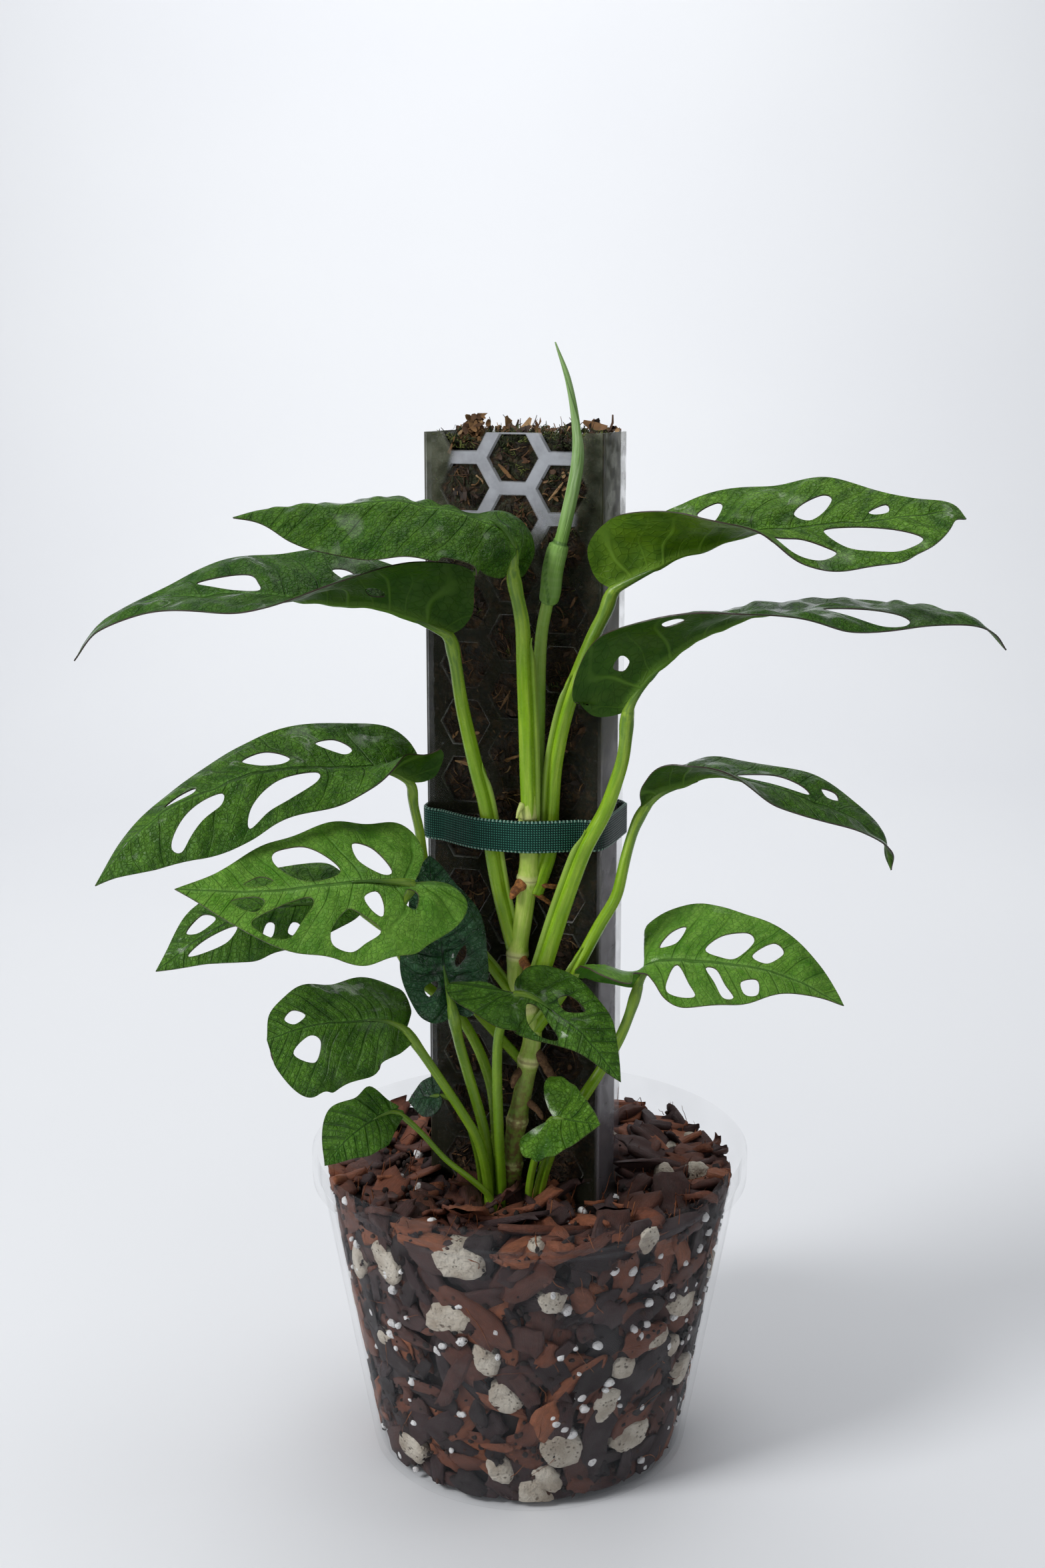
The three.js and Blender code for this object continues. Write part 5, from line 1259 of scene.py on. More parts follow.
# Clear plastic: seen through where moss is close behind, hazy with dust and damp, and pale where it is seen
# edge-on, partly a painted reflection of its grazing sheen.
# A band, given by the heights between which it thickens, its strength and its half width, makes the plastic
# more opaque: a pale haze at the top of the panel, and low on the shell a painted reflection of the
# surroundings;
# dusty is the range of an extra haze near the top.
def clearMaterial(name, tone, haze, rough=0.12, gloss=1.9, edge=(2.5, 0.45), hazeAndReflectionBand=None, mossAndReflectionTone=None,
                  dusty=None):
    material, tree = newMaterial(name)
    shades = useGroup(tree, mottle, Size=28.0, Spread=0.22)
    place = objectPlace(tree)
    specks = noiseMask(place, 700.0, 2.0, 0.64, 0.74)
    alpha = ranged(shades["Broad"], *haze)
    base = blend(shades["Small"], tone, [c + 16 for c in tone])
    if hazeAndReflectionBand:
        low, high, strength, half = hazeAndReflectionBand
        spot = axes(place)
        middle = between(maths("ABSOLUTE", spot[0]), half, half + 0.007, 1.0, 0.12)
        # the band: a pale haze at the top of the panel; low on the shell, a painted reflection of the
        # surroundings
        hazeAndReflection = times(between(spot[2], low, high, 0.0, strength), middle)
        hazeAndReflection = times(hazeAndReflection, ranged(shades["Small"], 1.0, 0.6))
        hazeAndReflection = times(hazeAndReflection, between(spot[1], 0.006, 0.018, 1.0, 0.35))
        alpha = maths("MAXIMUM", alpha, hazeAndReflection)
        frosted = blend(shades["Small"], (50, 56, 32), (136, 140, 120))
        base = blend(between(hazeAndReflection, 0.1, 0.35), blend(between(spot[2], 0.34, 0.41), mossAndReflectionTone, frosted), base)
        if dusty:
            upper = between(spot[2], 0.31, 0.4)
            alpha = maths("MAXIMUM", alpha, times(upper, ranged(shades["Small"], *dusty)))
            base = blend(upper, base, blend(shades["Small"], (74, 80, 48), (186, 186, 174)))
        base = paint(base, (specks, 0.3, (214, 216, 222)))
    alpha = maths("MAXIMUM", alpha, times(specks, 0.08))
    # more opaque where seen edge-on: partly a painted reflection of the plastic's grazing sheen
    rim = maths("POWER", addNode(tree, "ShaderNodeLayerWeight", {"Blend": 0.25}).outputs["Facing"], edge[0])
    return finishMaterial(
        material, Base_Color=base, Alpha=maths("MAXIMUM", alpha, times(rim, edge[1])),
        Roughness=ranged(shades["Small"], rough, rough + 0.14), IOR=gloss, Specular_IOR_Level=0.22)


# Cut faces of the sheet: their pale tone is a painted highlight where they catch the light
def cutEdgeHighlightMaterial():
    material, tree = newMaterial("cutEdge")
    shades = useGroup(tree, mottle, Size=26.0, Spread=0.2)
    return finishMaterial(
        material, Base_Color=blend(shades["Small"], (112, 108, 104), (188, 188, 186)),
        Alpha=ranged(shades["Broad"], 0.05, 0.5),
        Roughness=ranged(shades["Small"], 0.2, 0.4), IOR=1.49)


# Wall ends and inner side walls: they show the moss that they touch; low on the right side they turn pale, a
# painted reflection of the surroundings
def wallEndMaterial():
    material, tree = newMaterial("wallEnd")
    place = axes(objectPlace(tree))
    shades = useGroup(tree, mottle, Size=60.0, Spread=0.2)
    # painted reflection: pale low down on the right side
    pale = times(between(place[2], 0.33, 0.24, 0.0, 0.8), between(place[0], -0.01, 0.01))
    base = paint(
        blend(shades["Small"], (22, 18, 12), (78, 70, 46)),
        (shades["Broad"], 0.5, (52, 62, 30)),
        (pale, 1.0, (150, 144, 150)))
    return finishMaterial(
        material, Base_Color=base, Alpha=between(pale, 0.0, 0.8, 0.92, 0.5),
        Roughness=ranged(shades["Broad"], 0.3, 0.5), IOR=1.49, Specular_IOR_Level=0.25)


wallEnd = wallEndMaterial()
panelClear = clearMaterial("panelClear", (192, 195, 203), (0.2, 0.55), gloss=1.5,
                           hazeAndReflectionBand=(0.365, 0.402, 0.7, 0.021), mossAndReflectionTone=(48, 49, 38))
# the shell's grey-lilac tone and its opaque grey band low down are a painted reflection of the surroundings
shellClear = clearMaterial("shellClear", (118, 111, 118), (0.02, 0.1), gloss=1.6,
                           hazeAndReflectionBand=(0.3, 0.24, 0.36, 0.05), mossAndReflectionTone=(60, 56, 56), dusty=(0.16, 0.55))
makePiece("pole_shell", [shellPart()], [shellClear, wallEnd], "pole_back_shell")
makePiece("pole_panel", [panelPart()], [panelClear, cutEdgeHighlightMaterial(), wallEnd], "pole_front_panel",
          smooth=False)
print("pole is glazed")


# Moss fill: a rough column that swells into the holes, with loose fibres, leaf litter and tufts

mossBuild = {
    "top": 417,
    "step": 2.0,
    "inset": 2.15,
    "fibres": 4000, "topFibres": 50, "litter": 1300, "topLitter": 60, "sprigs": 480, "rimLitter": 90,
    "lowest": 112, "highest": 427,      # loose bits stay between these heights
    "across": 33.8, "topAcross": 31,    # and this near the middle, on the front and on top
    "sprigDepth": 100,                  # tufts grow down to here below the top, fewer as they go
    # larger light chips: across, up, turn from level in degrees, length, width
    "chips": [[-2, 404.8, -45, 9, 2.8], [-26, 413, 60, 12, 3], [-24, 408, 20, 7, 2.4], [-18, 386, -20, 6, 2],
              [18, 399, 50, 8, 1.6], [22, 394, -60, 7, 1.5], [14, 402, 10, 6, 1.4], [2, 366, 30, 7, 1.8],
              [-20, 356, -50, 7, 2], [19, 342, 15, 8, 2], [-3, 318, 60, 8, 1.8], [20, 300, -30, 9, 2.2],
              [1, 296, 20, 7, 2], [-19, 292, -10, 9, 2.2], [18, 226, 40, 8, 2], [-20, 205, -35, 7, 2]],
    # a dry clump that leans out of the top: where it starts, its direction, length and flakes
    "clump": [-23.0, -13, 412], "clumpWay": [0.55, -0.1, 0.9], "clumpLong": 15, "clumpFlakes": 150,
}


# How far forward the filling may stand: clear of the panel, or in a hole at the given gap from the
# panel's front face
def mossFront(x, z, gap):
    return poleBuild["front"] + np.where(hexDepth(x, z) > 0.9, gap, 2.3)


def mossColumn():
    build, front = mossBuild, poleBuild["front"]
    ring = poleLine(build["inset"], count=60)
    closed = np.vstack([ring, ring[:1]])
    run = runOf(closed)
    ring = readOff(np.union1d(np.arange(0, run[-1] - 0.01, build["step"]), run[-2]), run, closed)
    heights = np.arange(poleBuild["bottom"], build["top"] + 0.1, build["step"])
    rows, columns = len(heights), len(ring)
    x, y = np.tile(ring, (rows, 1)).T
    z = np.repeat(heights, columns)
    rough = np.array([noise.fractal(Vector(p), 0.6, 2.1, 4) for p in (stacked(x, y, z) / 6).tolist()])
    onFront = y < front + build["inset"] + 0.2
    sunk = unit(stacked(x, y)) * np.maximum(0, 0.1 + 0.6 * rough)[:, None]
    x, y = x - sunk[:, 0], y - sunk[:, 1]
    swell = smoothstep(-0.5, 3.5, hexDepth(x, z)) * (2.3 + 3.0 * rough)
    y = np.where(onFront, np.maximum(y - swell, mossFront(x, z, 1.2)), y)
    points = stacked(x, y, z)
    last = points[-columns:]
    lid = np.vstack([last * [0.66, 0.66, 1] + [0, 0, 1.5], last * [0.3, 0.3, 1] + [0, 0, 2]])
    lid[:, 2] += 2.2 * noiseAt(lid[:, 0] / 5, lid[:, 1] / 5, 3)
    ends = [[0, 0, poleBuild["bottom"]], [0, 0, build["top"] + 2]]
    return part(np.vstack([points, lid, ends]),
                [gridFaces(rows + 2, columns, closed=True), endFaces(rows + 2, columns)])


def surfaceSpot(draw, frontShare=0.66):
    z = draw.uniform(mossBuild["lowest"], mossBuild["top"])
    if draw.random() < frontShare:
        x = draw.uniform(-mossBuild["across"], mossBuild["across"])
        return np.array([x, float(mossFront(x, z, -0.2)) + draw.uniform(0, 1.2), z]), np.array([0, -1, 0])
    ring = poleLine(2.5, count=30)
    spot = draw.randrange(1, len(ring) - 2)
    share = draw.random()
    x, y = ring[spot] * (1 - share) + ring[spot + 1] * share
    out = unit(np.array([x, y, 0.0]))
    return np.array([x, y, z]) - out * draw.uniform(0.1, 0.8), out


# A place among the tufts on top
def topPlace(draw, nearest, furthest, highest=0):
    half = mossBuild["topAcross"]
    x, y = draw.uniform(-half, half), draw.uniform(nearest, furthest)
    return np.array([x, y, mossBuild["top"] + (draw.uniform(0, highest) if highest else 0)])


def scattered(draw, spread):
    return np.array([draw.gauss(0, spread) for _ in range(3)])


# Draws from a range; anything else stays as it is
def pick(draw, given):
    return draw.uniform(*given) if isinstance(given, tuple) else given


def keepInside(points):
    depth = mossBuild["inset"] - 0.1
    half = poleBuild["width"] / 2 - depth
    x = np.clip(points[:, 0], -half, half)
    back = poleBuild["front"] + poleBuild["sideDepth"]
    reach = poleBuild["depth"] - poleBuild["sideDepth"] - depth
    limit = back + reach * np.sqrt(np.clip(1 - (x / half) ** 2, 0, 1))
    y = np.clip(points[:, 1], mossFront(x, points[:, 2], -0.7), limit)
    return stacked(x, y, np.clip(points[:, 2], poleBuild["bottom"] + 2, mossBuild["highest"]))


# A thin strand that lies along a surface, bends and curls; length, radius and tint are ranges
def strand(draw, start, out, length, radius, curl, tint=(0, 1), steps=6, lift=0.0):
    length, radius, tint = pick(draw, length), pick(draw, radius), pick(draw, tint)
    up = np.array([0, 0, 1.0])
    side = unit(np.cross(out, up))
    angle = draw.uniform(0, math.tau)
    bend = draw.uniform(-curl, curl)
    points = [start]
    for _ in range(steps):
        heading = side * math.cos(angle) + up * math.sin(angle)
        step = heading + out * draw.uniform(-0.25, 0.25) + up * lift
        points.append(points[-1] + step * length / steps)
        angle += bend / steps + draw.uniform(-0.3, 0.3)
    taper = np.linspace(1, 0.35, steps) * radius
    return tube(np.array(points[:steps]), taper, sides=3, facing=out + 0.01, tint=tint)


# A small curled flake of dead leaf or bark; long, wide and tint are ranges
def flake(draw, spot, out, long, wide, curl, tint=(0, 1), thick=0.12, heading=None):
    long, wide, tint = pick(draw, long), pick(draw, wide), pick(draw, tint)
    if heading is None:
        heading = unit(scattered(draw, 1))
        heading = unit(heading - 0.7 * out * heading.dot(out))
    side = unit(np.cross(heading, out + 0.01))
    face = np.cross(side, heading)
    points = []
    for i, width in enumerate((0.35, 0.9, 1.0, 0.3)):
        a = (i / 3 - 0.5) * long
        for b in (-0.5, 0.5):
            lift = curl * (a / long) ** 2 * long + 0.2 * wide * b * curl
            points.append(spot + heading * a + side * b * wide * width + face * lift)
    points = np.array(points)
    faces = gridFaces(4, 2)
    rim = np.array([0, 1, 3, 5, 7, 6, 4, 2])
    after = np.roll(rim, -1)
    walls = stacked(after, rim, rim + 8, after + 8)
    return part(np.vstack([points, points - face * thick]), [faces, faces[:, ::-1] + 8, walls],
                places=np.zeros((16, 3)), tint=tint)


def mossBits():
    draw, build = random.Random(11), mossBuild
    fibres, litter, sprigs = [], [], []
    for _ in range(build["fibres"]):
        spot, out = surfaceSpot(draw)
        fibres.append(strand(draw, spot, out, (3, 12), (0.18, 0.5), 2.4))
    for _ in range(build["topFibres"]):
        spot = topPlace(draw, -15, 16)
        out = unit(np.array([draw.gauss(0, 1), -1, 0.3]))
        fibres.append(strand(draw, spot, out, (4, 10), (0.25, 0.6), 3.6, lift=0.2))
    for _ in range(build["litter"]):
        spot, out = surfaceSpot(draw)
        litter.append(flake(draw, spot, out, (1.5, 6), (0.6, 2), 0.5))
    for _ in range(build["topLitter"]):
        spot = topPlace(draw, -15, 14, 5)
        out = unit(np.array([draw.gauss(0, 1), -0.6, 0.6]))
        litter.append(flake(draw, spot, out, (3, 11), (1.5, 4), 0.6))
    for i in range(build["sprigs"]):
        if i % 3:
            spot, out = surfaceSpot(draw, 0.75)
            spot[2] = build["top"] + 1 - build["sprigDepth"] * draw.random() ** 2.4
        else:
            spot = topPlace(draw, -16, 10, 3)
            out = unit(np.array([draw.gauss(0, 0.6), -0.8, 0.8]))
        tint = draw.random()
        for _ in range(6):
            sprigs.append(strand(draw, spot + scattered(draw, 0.8), out, (1.5, 4), (0.18, 0.4), 2.0, tint,
                                 steps=4, lift=0.06))
    for x, z, turn, long, wide in build["chips"]:
        heading = np.array([math.cos(math.radians(turn)), -0.04, math.sin(math.radians(turn))])
        for _ in range(3):
            spot = np.array([x, poleBuild["front"] - 0.3, z]) + heading * draw.uniform(-0.2, 0.2) * long
            litter.append(flake(draw, spot, np.array([0, -1, 0.15]), (0.6 * long, long),
                                (0.3 * wide, 0.7 * wide), 0.3, (0.78, 0.96), thick=0.5, heading=heading))
    for _ in range(build["clumpFlakes"]):
        along = draw.uniform(0, 1)
        spot = np.array(build["clump"]) + np.array(build["clumpWay"]) * along * build["clumpLong"]
        spot += scattered(draw, 2.6 - 1.5 * along)
        litter.append(flake(draw, spot, unit(np.array([0.3, -1, 0.2])), (2, 4.5), (1, 2.6), 0.5, (0.55, 1),
                            thick=0.3))
    rim = poleLine(1, count=60)
    for _ in range(build["rimLitter"]):
        x, y = rim[draw.randrange(len(rim))]
        drop = np.array([draw.gauss(0, 1), draw.gauss(0, 1), draw.uniform(-0.4, 1.2)])
        spot = np.array([x, y, poleBuild["top"]]) + drop
        litter.append(flake(draw, spot, np.array([0, -0.7, 0.7]), (1, 3), (0.8, 2), 0.4, (0.4, 1)))
    for made in fibres + litter + sprigs:
        made["points"] = keepInside(made["points"])
    return fibres, litter, sprigs


# Shades that run from one small part to the next, with grain along each
def litterMaterial(name, stops, rough=(0.7, 0.9), grain=(0.3, 1.5)):
    material, tree = newMaterial(name)
    ramp = addNode(tree, "ShaderNodeValToRGB", {0: attribute(tree, tintName, "Fac")})
    for i, (place, tone) in enumerate(stops):
        stop = ramp.color_ramp.elements[i] if i < 2 else ramp.color_ramp.elements.new(place)
        stop.position, stop.color = place, colour(*tone)
    shades = useGroup(tree, mottle, Size=120.0, Spread=0.18)
    lines = useGroup(tree, streaks, Vector=attribute(tree, placeName), Long=grain[0], Wide=grain[1])
    dark = blend(0.55, ramp.outputs[0], (25.46, 20.01, 12.93))
    base = paint(ramp.outputs[0], (shades["Small"], 0.45, dark), (lines["Streak"], 0.45, dark))
    return finishMaterial(material, height=lines["Fine"], strength=0.5, distance=0.0006, Base_Color=base,
                          Roughness=ranged(shades["Broad"], *rough))


def mossMaterial():
    material, tree = newMaterial("mossFill")
    place = objectPlace(tree)
    shades = useGroup(tree, mottle, Size=55.0, Spread=0.14)
    fine = noiseMask(place, 700.0, 6.0, 0.4, 0.7)
    base = paint(
        blend(shades["Broad"], (9, 7, 5), (38, 25, 15)),
        (fine, 0.55, (92, 66, 40)),
        (noiseMask(place, 260.0, 5.0, 0.5, 0.66), 0.5, (112, 80, 46)),
        (shades["Small"], between(axes(place)[2], 0.33, 0.42, 0.2, 0.8), (44, 54, 22)))
    return finishMaterial(material, height=fine, strength=0.8, distance=0.0015, Base_Color=base,
                          Roughness=ranged(fine, 0.75, 0.95))


brownStops = [(0.0, (26, 16, 10)), (1.0, (206, 170, 124)), (0.45, (62, 40, 24)), (0.75, (104, 70, 40)),
              (0.92, (146, 108, 66))]
greenStops = [(0.0, (30, 42, 14)), (1.0, (140, 150, 70)), (0.6, (66, 80, 28))]
fibres, litter, sprigs = mossBits()
mossPieces = [
    ("moss_fill", [mossColumn()], mossMaterial(), True),
    ("moss_fibres", fibres, litterMaterial("mossFibre", brownStops), True),
    ("moss_litter", litter, litterMaterial("mossLitter", brownStops), False),
    ("moss_sprigs", sprigs, litterMaterial("mossSprig", greenStops), True),
]
for name, parts, material, smooth in mossPieces:
    makePiece(name, parts, [material], "moss_core", smooth=smooth)
print("moss is packed in")


# Strap: a woven band around the pole and three stalks

strapBuild = {
    "front": [[-36, -20], [-26, -25.5], [-16, -31], [-8, -33.9], [2, -34.4], [11, -33.4], [20, -29.3],
              [28, -24.4]],
    "middle": 268, "width": 12.5, "thickness": 1.2, "clearance": 0.3,
    "edge": 0.35,        # rounding of its corners
}


def strapPart():
    build = strapBuild
    loop = np.vstack([build["front"], poleLine(0, count=26, front=-19.5)[:-1]])
    loop = spaced(smoothLine(loop, closed=True), 1.4)[:-1]
    after = np.roll(loop, -1, axis=0)
    run = runOf(loop)
    along = unit(after - np.roll(loop, 1, axis=0))
    out = stacked(along[:, 1], -along[:, 0])
    half, thick, edge = build["width"] / 2, build["thickness"], build["edge"]
    # depth and height of each row round the band's outline
    rows = [(0, -half + edge), (0, -3), (0, 0), (0, 3), (0, half - edge), (edge, half), (thick - edge, half),
            (thick, half - edge)] + [(thick, z) for z in np.linspace(5, -5, 9)] + [
            (thick, -half + edge), (thick - edge, -half), (edge, -half)]
    grown = [loop + out * (build["clearance"] + depth) for depth, _ in rows]
    points = [stacked(*ring.T, build["middle"] + height) for ring, (_, height) in zip(grown, rows)]
    places = [stacked(run, height, depth) for depth, height in rows]
    faces = gridFaces(len(rows) + 1, len(loop), closed=True) % (len(rows) * len(loop))
    return part(np.vstack(points), [faces], places=np.vstack(places))


# Plaited polyester: two sets of crossing strands, with a light stitch along both edges, and greyer where it
# turns round the pole's right side, a painted shade
def strapMaterial():
    material, tree = newMaterial("strapWeave")
    place = axes(attribute(tree, placeName))
    shades = useGroup(tree, mottle, Size=50.0, Spread=0.25)

    def wave(value, length):
        return maths("SINE", times(value, math.tau / length))

    plait = times(*(wave(maths(way, place[0], place[1]), 1.9) for way in ("ADD", "SUBTRACT")))
    rise = between(plait, -1.0, 1.0)
    border = between(maths("ABSOLUTE", place[1]), 5.3, 5.6)
    base = paint(
        blend(shades["Broad"], (3, 40, 33), (5, 52, 43)),
        (between(plait, 0.2, 0.8), 0.85, (72, 150, 128)),
        # painted shade: greyer where the band turns round the right side
        (between(axes(objectPlace(tree))[0], 0.028, 0.035), 0.7, (52, 56, 58)),
        (times(border, between(wave(place[0], 1.5), 0.0, 0.5)), 0.9, (150, 184, 168)))
    return finishMaterial(
        material, height=rise, strength=0.8, Base_Color=base, Roughness=ranged(rise, 0.55, 0.38),
        IOR=1.45, Specular_IOR_Level=0.2)


makePiece("woven_strap", [strapPart()], [strapMaterial()], "plant_strap")
print("strap is woven")


# Pot: clear, tapered, with a rim band and drain holes

potBuild = {
    "base": 66, "shoulder": 86.5, "shoulderHeight": 118, "rim": 90, "height": 130, "wall": 2, "floor": 2.5,
    "drains": 6, "drainRadius": 4, "drainCircle": 38, "sides": 128, "drainSides": 24,
    "edge": 0.5,         # rounding of the rim's corners
}


def latheRings(profile, sides):
    angles = np.arange(sides) / sides * math.tau
    radius, height = np.repeat(np.asarray(profile, float), sides, axis=0).T
    return stacked(radius * np.tile(np.cos(angles), len(profile)),
                   radius * np.tile(np.sin(angles), len(profile)), height)


def potParts():
    build = potBuild
    sides, soft, holeSides = build["sides"], build["edge"], build["drainSides"]
    base, shoulder, rim, floor, wall = (build[k] for k in ("base", "shoulder", "rim", "floor", "wall"))
    step, high = build["shoulderHeight"], build["height"]
    profile = [
        (base - 1.5, 0), (base - 0.6, 0.3), (base - 0.1, 0.9), (base + 0.1, 1.8),
        (shoulder - 0.1, step - 0.6), (shoulder + 0.4, step),
        (rim - soft, step), (rim, step + soft), (rim, high - 0.6),
        (rim - soft, high), (rim - wall + soft, high), (rim - wall, high - 0.6),
        (rim - wall, step + wall + soft), (rim - wall - soft, step + wall),
        (shoulder - wall + 0.2, step + wall), (shoulder - wall - 0.2, step + wall - soft),
        (base - wall + 0.2, floor + 0.6), (base - wall - 0.6, floor)]
    parts = [part(latheRings(profile, sides), [gridFaces(len(profile), sides, closed=True)])]
    turns = (np.arange(build["drains"]) + 0.5) * math.tau / build["drains"]
    circle = latheRings([(build["drainRadius"], 0)], holeSides)[:, :2]
    holes = [circle + build["drainCircle"] * np.array([math.cos(turn), math.sin(turn)]) for turn in turns]
    inner = latheRings([(20, 0), (52, 0)], holeSides)[:, :2]
    for (radius, height), way in ((profile[0], -1), (profile[-1], 1)):
        flat, triangles, _ = flatSheet(latheRings([(radius, 0)], sides)[:, :2], holes, inner)
        parts.append(part(stacked(*flat.T, height), [triangles[:, ::way]]))
    for hole in holes:
        points = np.vstack([stacked(*hole.T, z) for z in (0, floor)])
        parts.append(part(points, [gridFaces(2, holeSides, closed=True)[:, ::-1]]))
    return parts


potClear = clearMaterial("potClear", (112, 118, 124), (0.02, 0.05), rough=0.05, gloss=2.0, edge=(5.0, 0.4))
makePiece("clear_pot", potParts(), [potClear], "pot")
print("pot is turned")


# Growing mix: bark chips, pumice, perlite and coir over a dark core, pressed against the pot

mixBuild = {
    "top": 115.5, "bottom": 2.9, "highest": 125.5,
    "straight": 119,     # above this height the pot's rim gives no more room
    "rowFirst": 7.0, "rowLast": 114, "rowStep": 8.0, "chipStep": 10.5, "pumiceShare": 0.085,
    "topChips": 210, "topPumice": 9, "perlite": 210, "crumbs": 2200, "coir": 460,
    "poleRoom": (36.5, -20.5, 22.5),   # half width, front and back of the space left for the pole
    "poleKeep": 2.5,                   # loose bits on top are dropped this far from it
    "chipRows": 8, "chipColumns": 5,
    "coreSides": 90,
}


def mixRadius(z):
    rise = (z - potBuild["floor"]) / (potBuild["shoulderHeight"] + potBuild["wall"] - potBuild["floor"])
    return potBuild["base"] - potBuild["wall"] - 0.3 + (potBuild["shoulder"] - potBuild["base"]) * rise


def ballShape(levels):
    made = bmesh.new()
    bmesh.ops.create_icosphere(made, subdivisions=levels, radius=1)
    points = np.array([v.co[:] for v in made.verts])
    faces = np.array([[v.index for v in f.verts] for f in made.faces])
    made.free()
    return points, faces


# Keeps a lump inside the pot and out of the pole
def bedded(points, inset=0.0):
    half, front, back = mixBuild["poleRoom"]
    x, y, z = points.T
    z = np.clip(z, mixBuild["bottom"], mixBuild["highest"])
    limit = mixRadius(np.minimum(z, mixBuild["straight"])) - inset
    squeeze = np.minimum(1, limit / np.maximum(np.hypot(x, y), 1e-6))
    x, y = x * squeeze, y * squeeze
    gaps = stacked(half - np.abs(x), y - front, back - y)
    nearest = np.where((gaps > 0).all(axis=1), gaps.argmin(axis=1), 3)
    x = np.where(nearest == 0, np.sign(x) * half, x)
    y = np.where(nearest == 1, front, np.where(nearest == 2, back, y))
    return stacked(x, y, z)


# The three directions of a thing that is set down turned any way, its upper side about along out
def setDown(draw, out, tilt):
    face = unit(np.asarray(out, float) + scattered(draw, tilt))
    heading = scattered(draw, 1)
    heading = unit(heading - face * heading.dot(face))
    return np.array([heading, np.cross(face, heading), face])


# A split chip of bark: a slab with ragged ends and layered, ridged faces. Its sizes and tint are
# ranges.
def barkChip(draw, spot, out, long, wide, thick, tilt, inset, tint=None):
    long, wide, thick, tint = (pick(draw, given) for given in (long, wide, thick, tint))
    facing = setDown(draw, out, tilt)
    seed = draw.uniform(0, 900)
    rows, columns = mixBuild["chipRows"], mixBuild["chipColumns"]
    a, b = np.meshgrid(np.linspace(-1, 1, rows), np.linspace(-1, 1, columns), indexing="ij")
    a, b = a.ravel(), b.ravel()
    ragged, outline = noiseAt(b * 1.7, seed, 0), noiseAt(a * 1.5, seed, 5 + np.sign(b))
    narrow = 1 - draw.uniform(0.05, 0.5) * np.abs(a) ** 2.4
    x = a * long / 2 * (1 + 0.35 * ragged) + 0.12 * long * b * draw.uniform(-1, 1)
    y = b * wide / 2 * narrow * (1 + 0.45 * outline)
    bow = draw.uniform(-0.12, 0.12) * long * (a**2 - 0.4)
    sheets = []
    for way in (1, -1):
        ridges = noiseAt(a * 0.9, b * 2.8, seed + way)
        body = thick / 2 * (1 - 0.35 * np.abs(a) ** 4) * (1 + 0.55 * ridges)
        sheets.append(stacked(x, y, bow + way * body))
    local = np.vstack(sheets)
    size = rows * columns
    top = gridFaces(rows, columns)
    rim = np.concatenate([np.arange(columns), np.arange(1, rows) * columns + columns - 1,
                          np.arange(columns - 2, -1, -1) + (rows - 1) * columns,
                          np.arange(rows - 2, 0, -1) * columns])
    after = np.roll(rim, -1)
    walls = stacked(rim + size, after + size, after, rim)
    return part(bedded(spot + local @ facing, inset), [top, top[:, ::-1] + size, walls],
                places=local + [seed % 50, 0, 0], tint=draw.random() if tint is None else tint)


def lump(draw, shape, spot, size, squash, roughness, inset):
    points, faces = shape
    size = pick(draw, size)
    seed = np.float32([draw.uniform(0, 500) for _ in range(3)])
    broad, fine = (noiseAt(*(np.float32(points) * scale + seed).T) for scale in (1.1, 3.2))
    swell = broad + 0.35 * fine
    local = points * (1 + roughness * swell)[:, None] * size / 2 * [1.15, 1, squash]
    placed = spot + local @ setDown(draw, (0, 0, 1), 2)
    return part(bedded(placed, inset), [faces], places=points * size, tint=draw.random())


def wallSpot(angle, z, inset):
    radius = mixRadius(z) - inset
    cosine, sine = math.cos(angle), math.sin(angle)
    return np.array([radius * cosine, radius * sine, z]), np.array([cosine, sine, -0.15])


def topSpot(draw, low, high):
    half, front, back = mixBuild["poleRoom"]
    keep = mixBuild["poleKeep"]
    while True:
        radius, angle = mixRadius(mixBuild["top"]) * math.sqrt(draw.random()), draw.uniform(0, math.tau)
        x, y = radius * math.cos(angle), radius * math.sin(angle)
        if not (abs(x) < half + keep and front - keep < y < back + keep):
            return np.array([x, y, mixBuild["top"] + draw.uniform(low, high)])


# The dark core stands for the mix's fine body; its near-black tone is partly a painted shade in the gaps
# between the chips
def mixCore():
    bottom, top, sides = mixBuild["bottom"], mixBuild["top"], mixBuild["coreSides"]
    heights = np.linspace(bottom, top - 1.5, 24)
    radii = mixRadius(heights) - 3.5
    profile = [(1.5, bottom)] + list(zip(radii, heights))
    profile += [(radii[-1] * share, top - 1) for share in np.linspace(0.96, 0.02, 20)]
    points = latheRings(profile, sides)
    shift = np.array([noise.fractal(Vector(p) / 7, 0.7, 2.0, 3) for p in points.tolist()])
    out = unit(points * [1, 1, 0] + 1e-6)
    onTop = points[:, 2] > top - 1.2
    points = points - out * ((1.5 + 1.3 * shift) * ~onTop)[:, None]
    points[:, 2] += np.where(onTop, 1.6 * shift, 0)
    return part(points, [gridFaces(len(profile), sides, closed=True)])


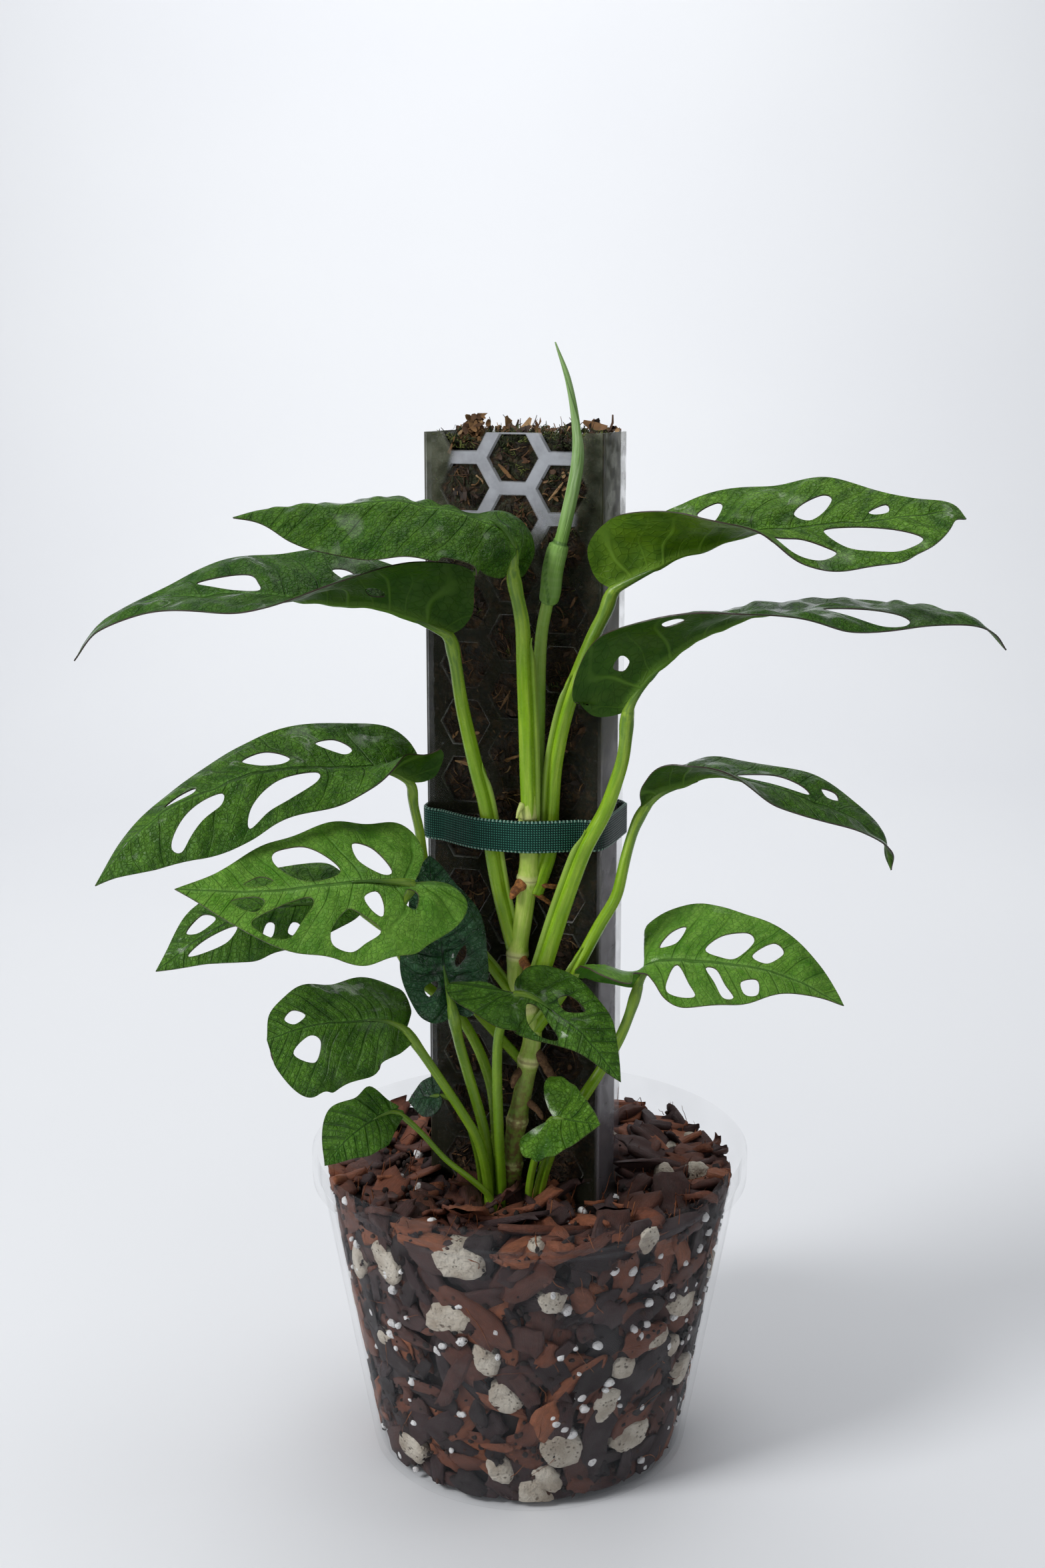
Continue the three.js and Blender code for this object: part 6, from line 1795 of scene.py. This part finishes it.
def mixBits():
    draw, build = random.Random(5), mixBuild
    stone, grain, crumb = ballShape(3), ballShape(2), ballShape(1)
    bark, pumice, perlite, crumbs, coir = [], [], [], [], []
    for z in np.arange(build["rowFirst"], build["rowLast"], build["rowStep"]).tolist():
        count = round(math.tau * mixRadius(z) / build["chipStep"])
        shift = draw.random()
        for i in range(count):
            angle = math.tau * (i + shift + draw.uniform(-0.3, 0.3)) / count
            height = z + draw.uniform(-3.5, 3.5)
            if draw.random() < build["pumiceShare"]:
                spot, _ = wallSpot(angle, height, 5)
                pumice.append(lump(draw, stone, spot, (10, 19), 0.8, 0.34, 0.2))
            else:
                inset = draw.uniform(0.2, 3.0)
                spot, out = wallSpot(angle, height, inset + 1.2)
                bark.append(barkChip(draw, spot, out, (9, 34), (5, 14), (2, 5), 0.4, inset))
    for _ in range(build["topChips"]):
        bark.append(barkChip(draw, topSpot(draw, 0, 4.5), (0, 0, 1), (10, 36), (6, 16), (1.5, 4), 0.35, 0.5,
                             tint=(0.35, 1)))
    for _ in range(build["topPumice"]):
        pumice.append(lump(draw, stone, topSpot(draw, 0, 2), (8, 14), 0.8, 0.34, 0.2))
    for i in range(build["perlite"]):
        size = draw.uniform(1.8, 4.6)
        if i % 8:
            spot, _ = wallSpot(draw.uniform(0, math.tau), draw.uniform(4, 117), size * 0.45)
        else:
            spot = topSpot(draw, 1, 5)
        perlite.append(lump(draw, grain, spot, size, 0.85, 0.3, 0.1))
    for i in range(build["crumbs"]):
        size = draw.uniform(0.9, 3.2)
        if i % 3:
            spot, _ = wallSpot(draw.uniform(0, math.tau), draw.uniform(4, 117), draw.uniform(0.5, 3.0))
        else:
            spot = topSpot(draw, 0, 5)
        crumbs.append(lump(draw, crumb, spot, size, 0.7, 0.5, 0.15))
    for i in range(build["coir"]):
        if i % 4:
            spot, out = topSpot(draw, 1.5, 5), np.array([0.1, 0, 1.0])
        else:
            spot, out = wallSpot(draw.uniform(0, math.tau), draw.uniform(10, 116), 0.6)
        made = strand(draw, spot, unit(out), (9, 26), (0.16, 0.34), 1.4, steps=7)
        made["points"] = bedded(made["points"], 0.2)
        coir.append(made)
    return bark, pumice, perlite, crumbs, coir


# Pale stone with dark pits
def stoneMaterial(name, pale, shade, pitScale, pitDepth):
    material, tree = newMaterial(name)
    place = objectPlace(tree)
    shades = useGroup(tree, mottle, Size=110.0, Spread=0.2)
    cells = follow("ShaderNodeTexVoronoi", {"Vector": place, "Scale": pitScale}, feature="SMOOTH_F1")[0]
    pits = times(fading(cells, 0.12, 0.34), noiseMask(place, pitScale * 0.3, 2.0, 0.45, 0.6))
    base = paint(blend(shades["Broad"], pale, shade), (pits, pitDepth, (92, 78, 64)))
    return finishMaterial(
        material, height=maths("SUBTRACT", shades["Small"], times(pits, 2.0)), strength=0.7, distance=0.0008,
        Base_Color=base, Roughness=ranged(shades["Small"], 0.75, 0.95))


barkStops = [(0.0, (34, 22, 24)), (1.0, (158, 94, 62)), (0.35, (58, 38, 40)), (0.6, (80, 48, 42)),
             (0.85, (122, 68, 46))]
crumbStops = [(0.0, (22, 14, 12)), (1.0, (80, 50, 38)), (0.6, (44, 28, 24))]
coirStops = [(0.0, (120, 62, 32)), (1.0, (190, 118, 68)), (0.5, (156, 86, 46))]
bark, pumice, perlite, crumbs, coir = mixBits()
mixPieces = [
    ("mix_core", [mixCore()], litterMaterial("mixDark", [(0.0, (20, 12, 9)), (1.0, (44, 26, 20))])),
    ("bark_chips", bark, litterMaterial("barkGrain", barkStops, rough=(0.62, 0.85), grain=(0.12, 0.9))),
    ("pumice_lumps", pumice, stoneMaterial("pumiceStone", (206, 198, 184), (168, 156, 140), 620.0, 0.8)),
    ("perlite_grains", perlite, stoneMaterial("perliteGrain", (244, 244, 244), (222, 220, 220), 900.0, 0.3)),
    ("mix_crumbs", crumbs, litterMaterial("darkCrumb", crumbStops)),
    ("coir_fibres", coir, litterMaterial("coirFibre", coirStops, rough=(0.6, 0.8))),
]
for name, parts, material in mixPieces:
    makePiece(name, parts, [material], "growing_mix")
print("mix is bedded in")
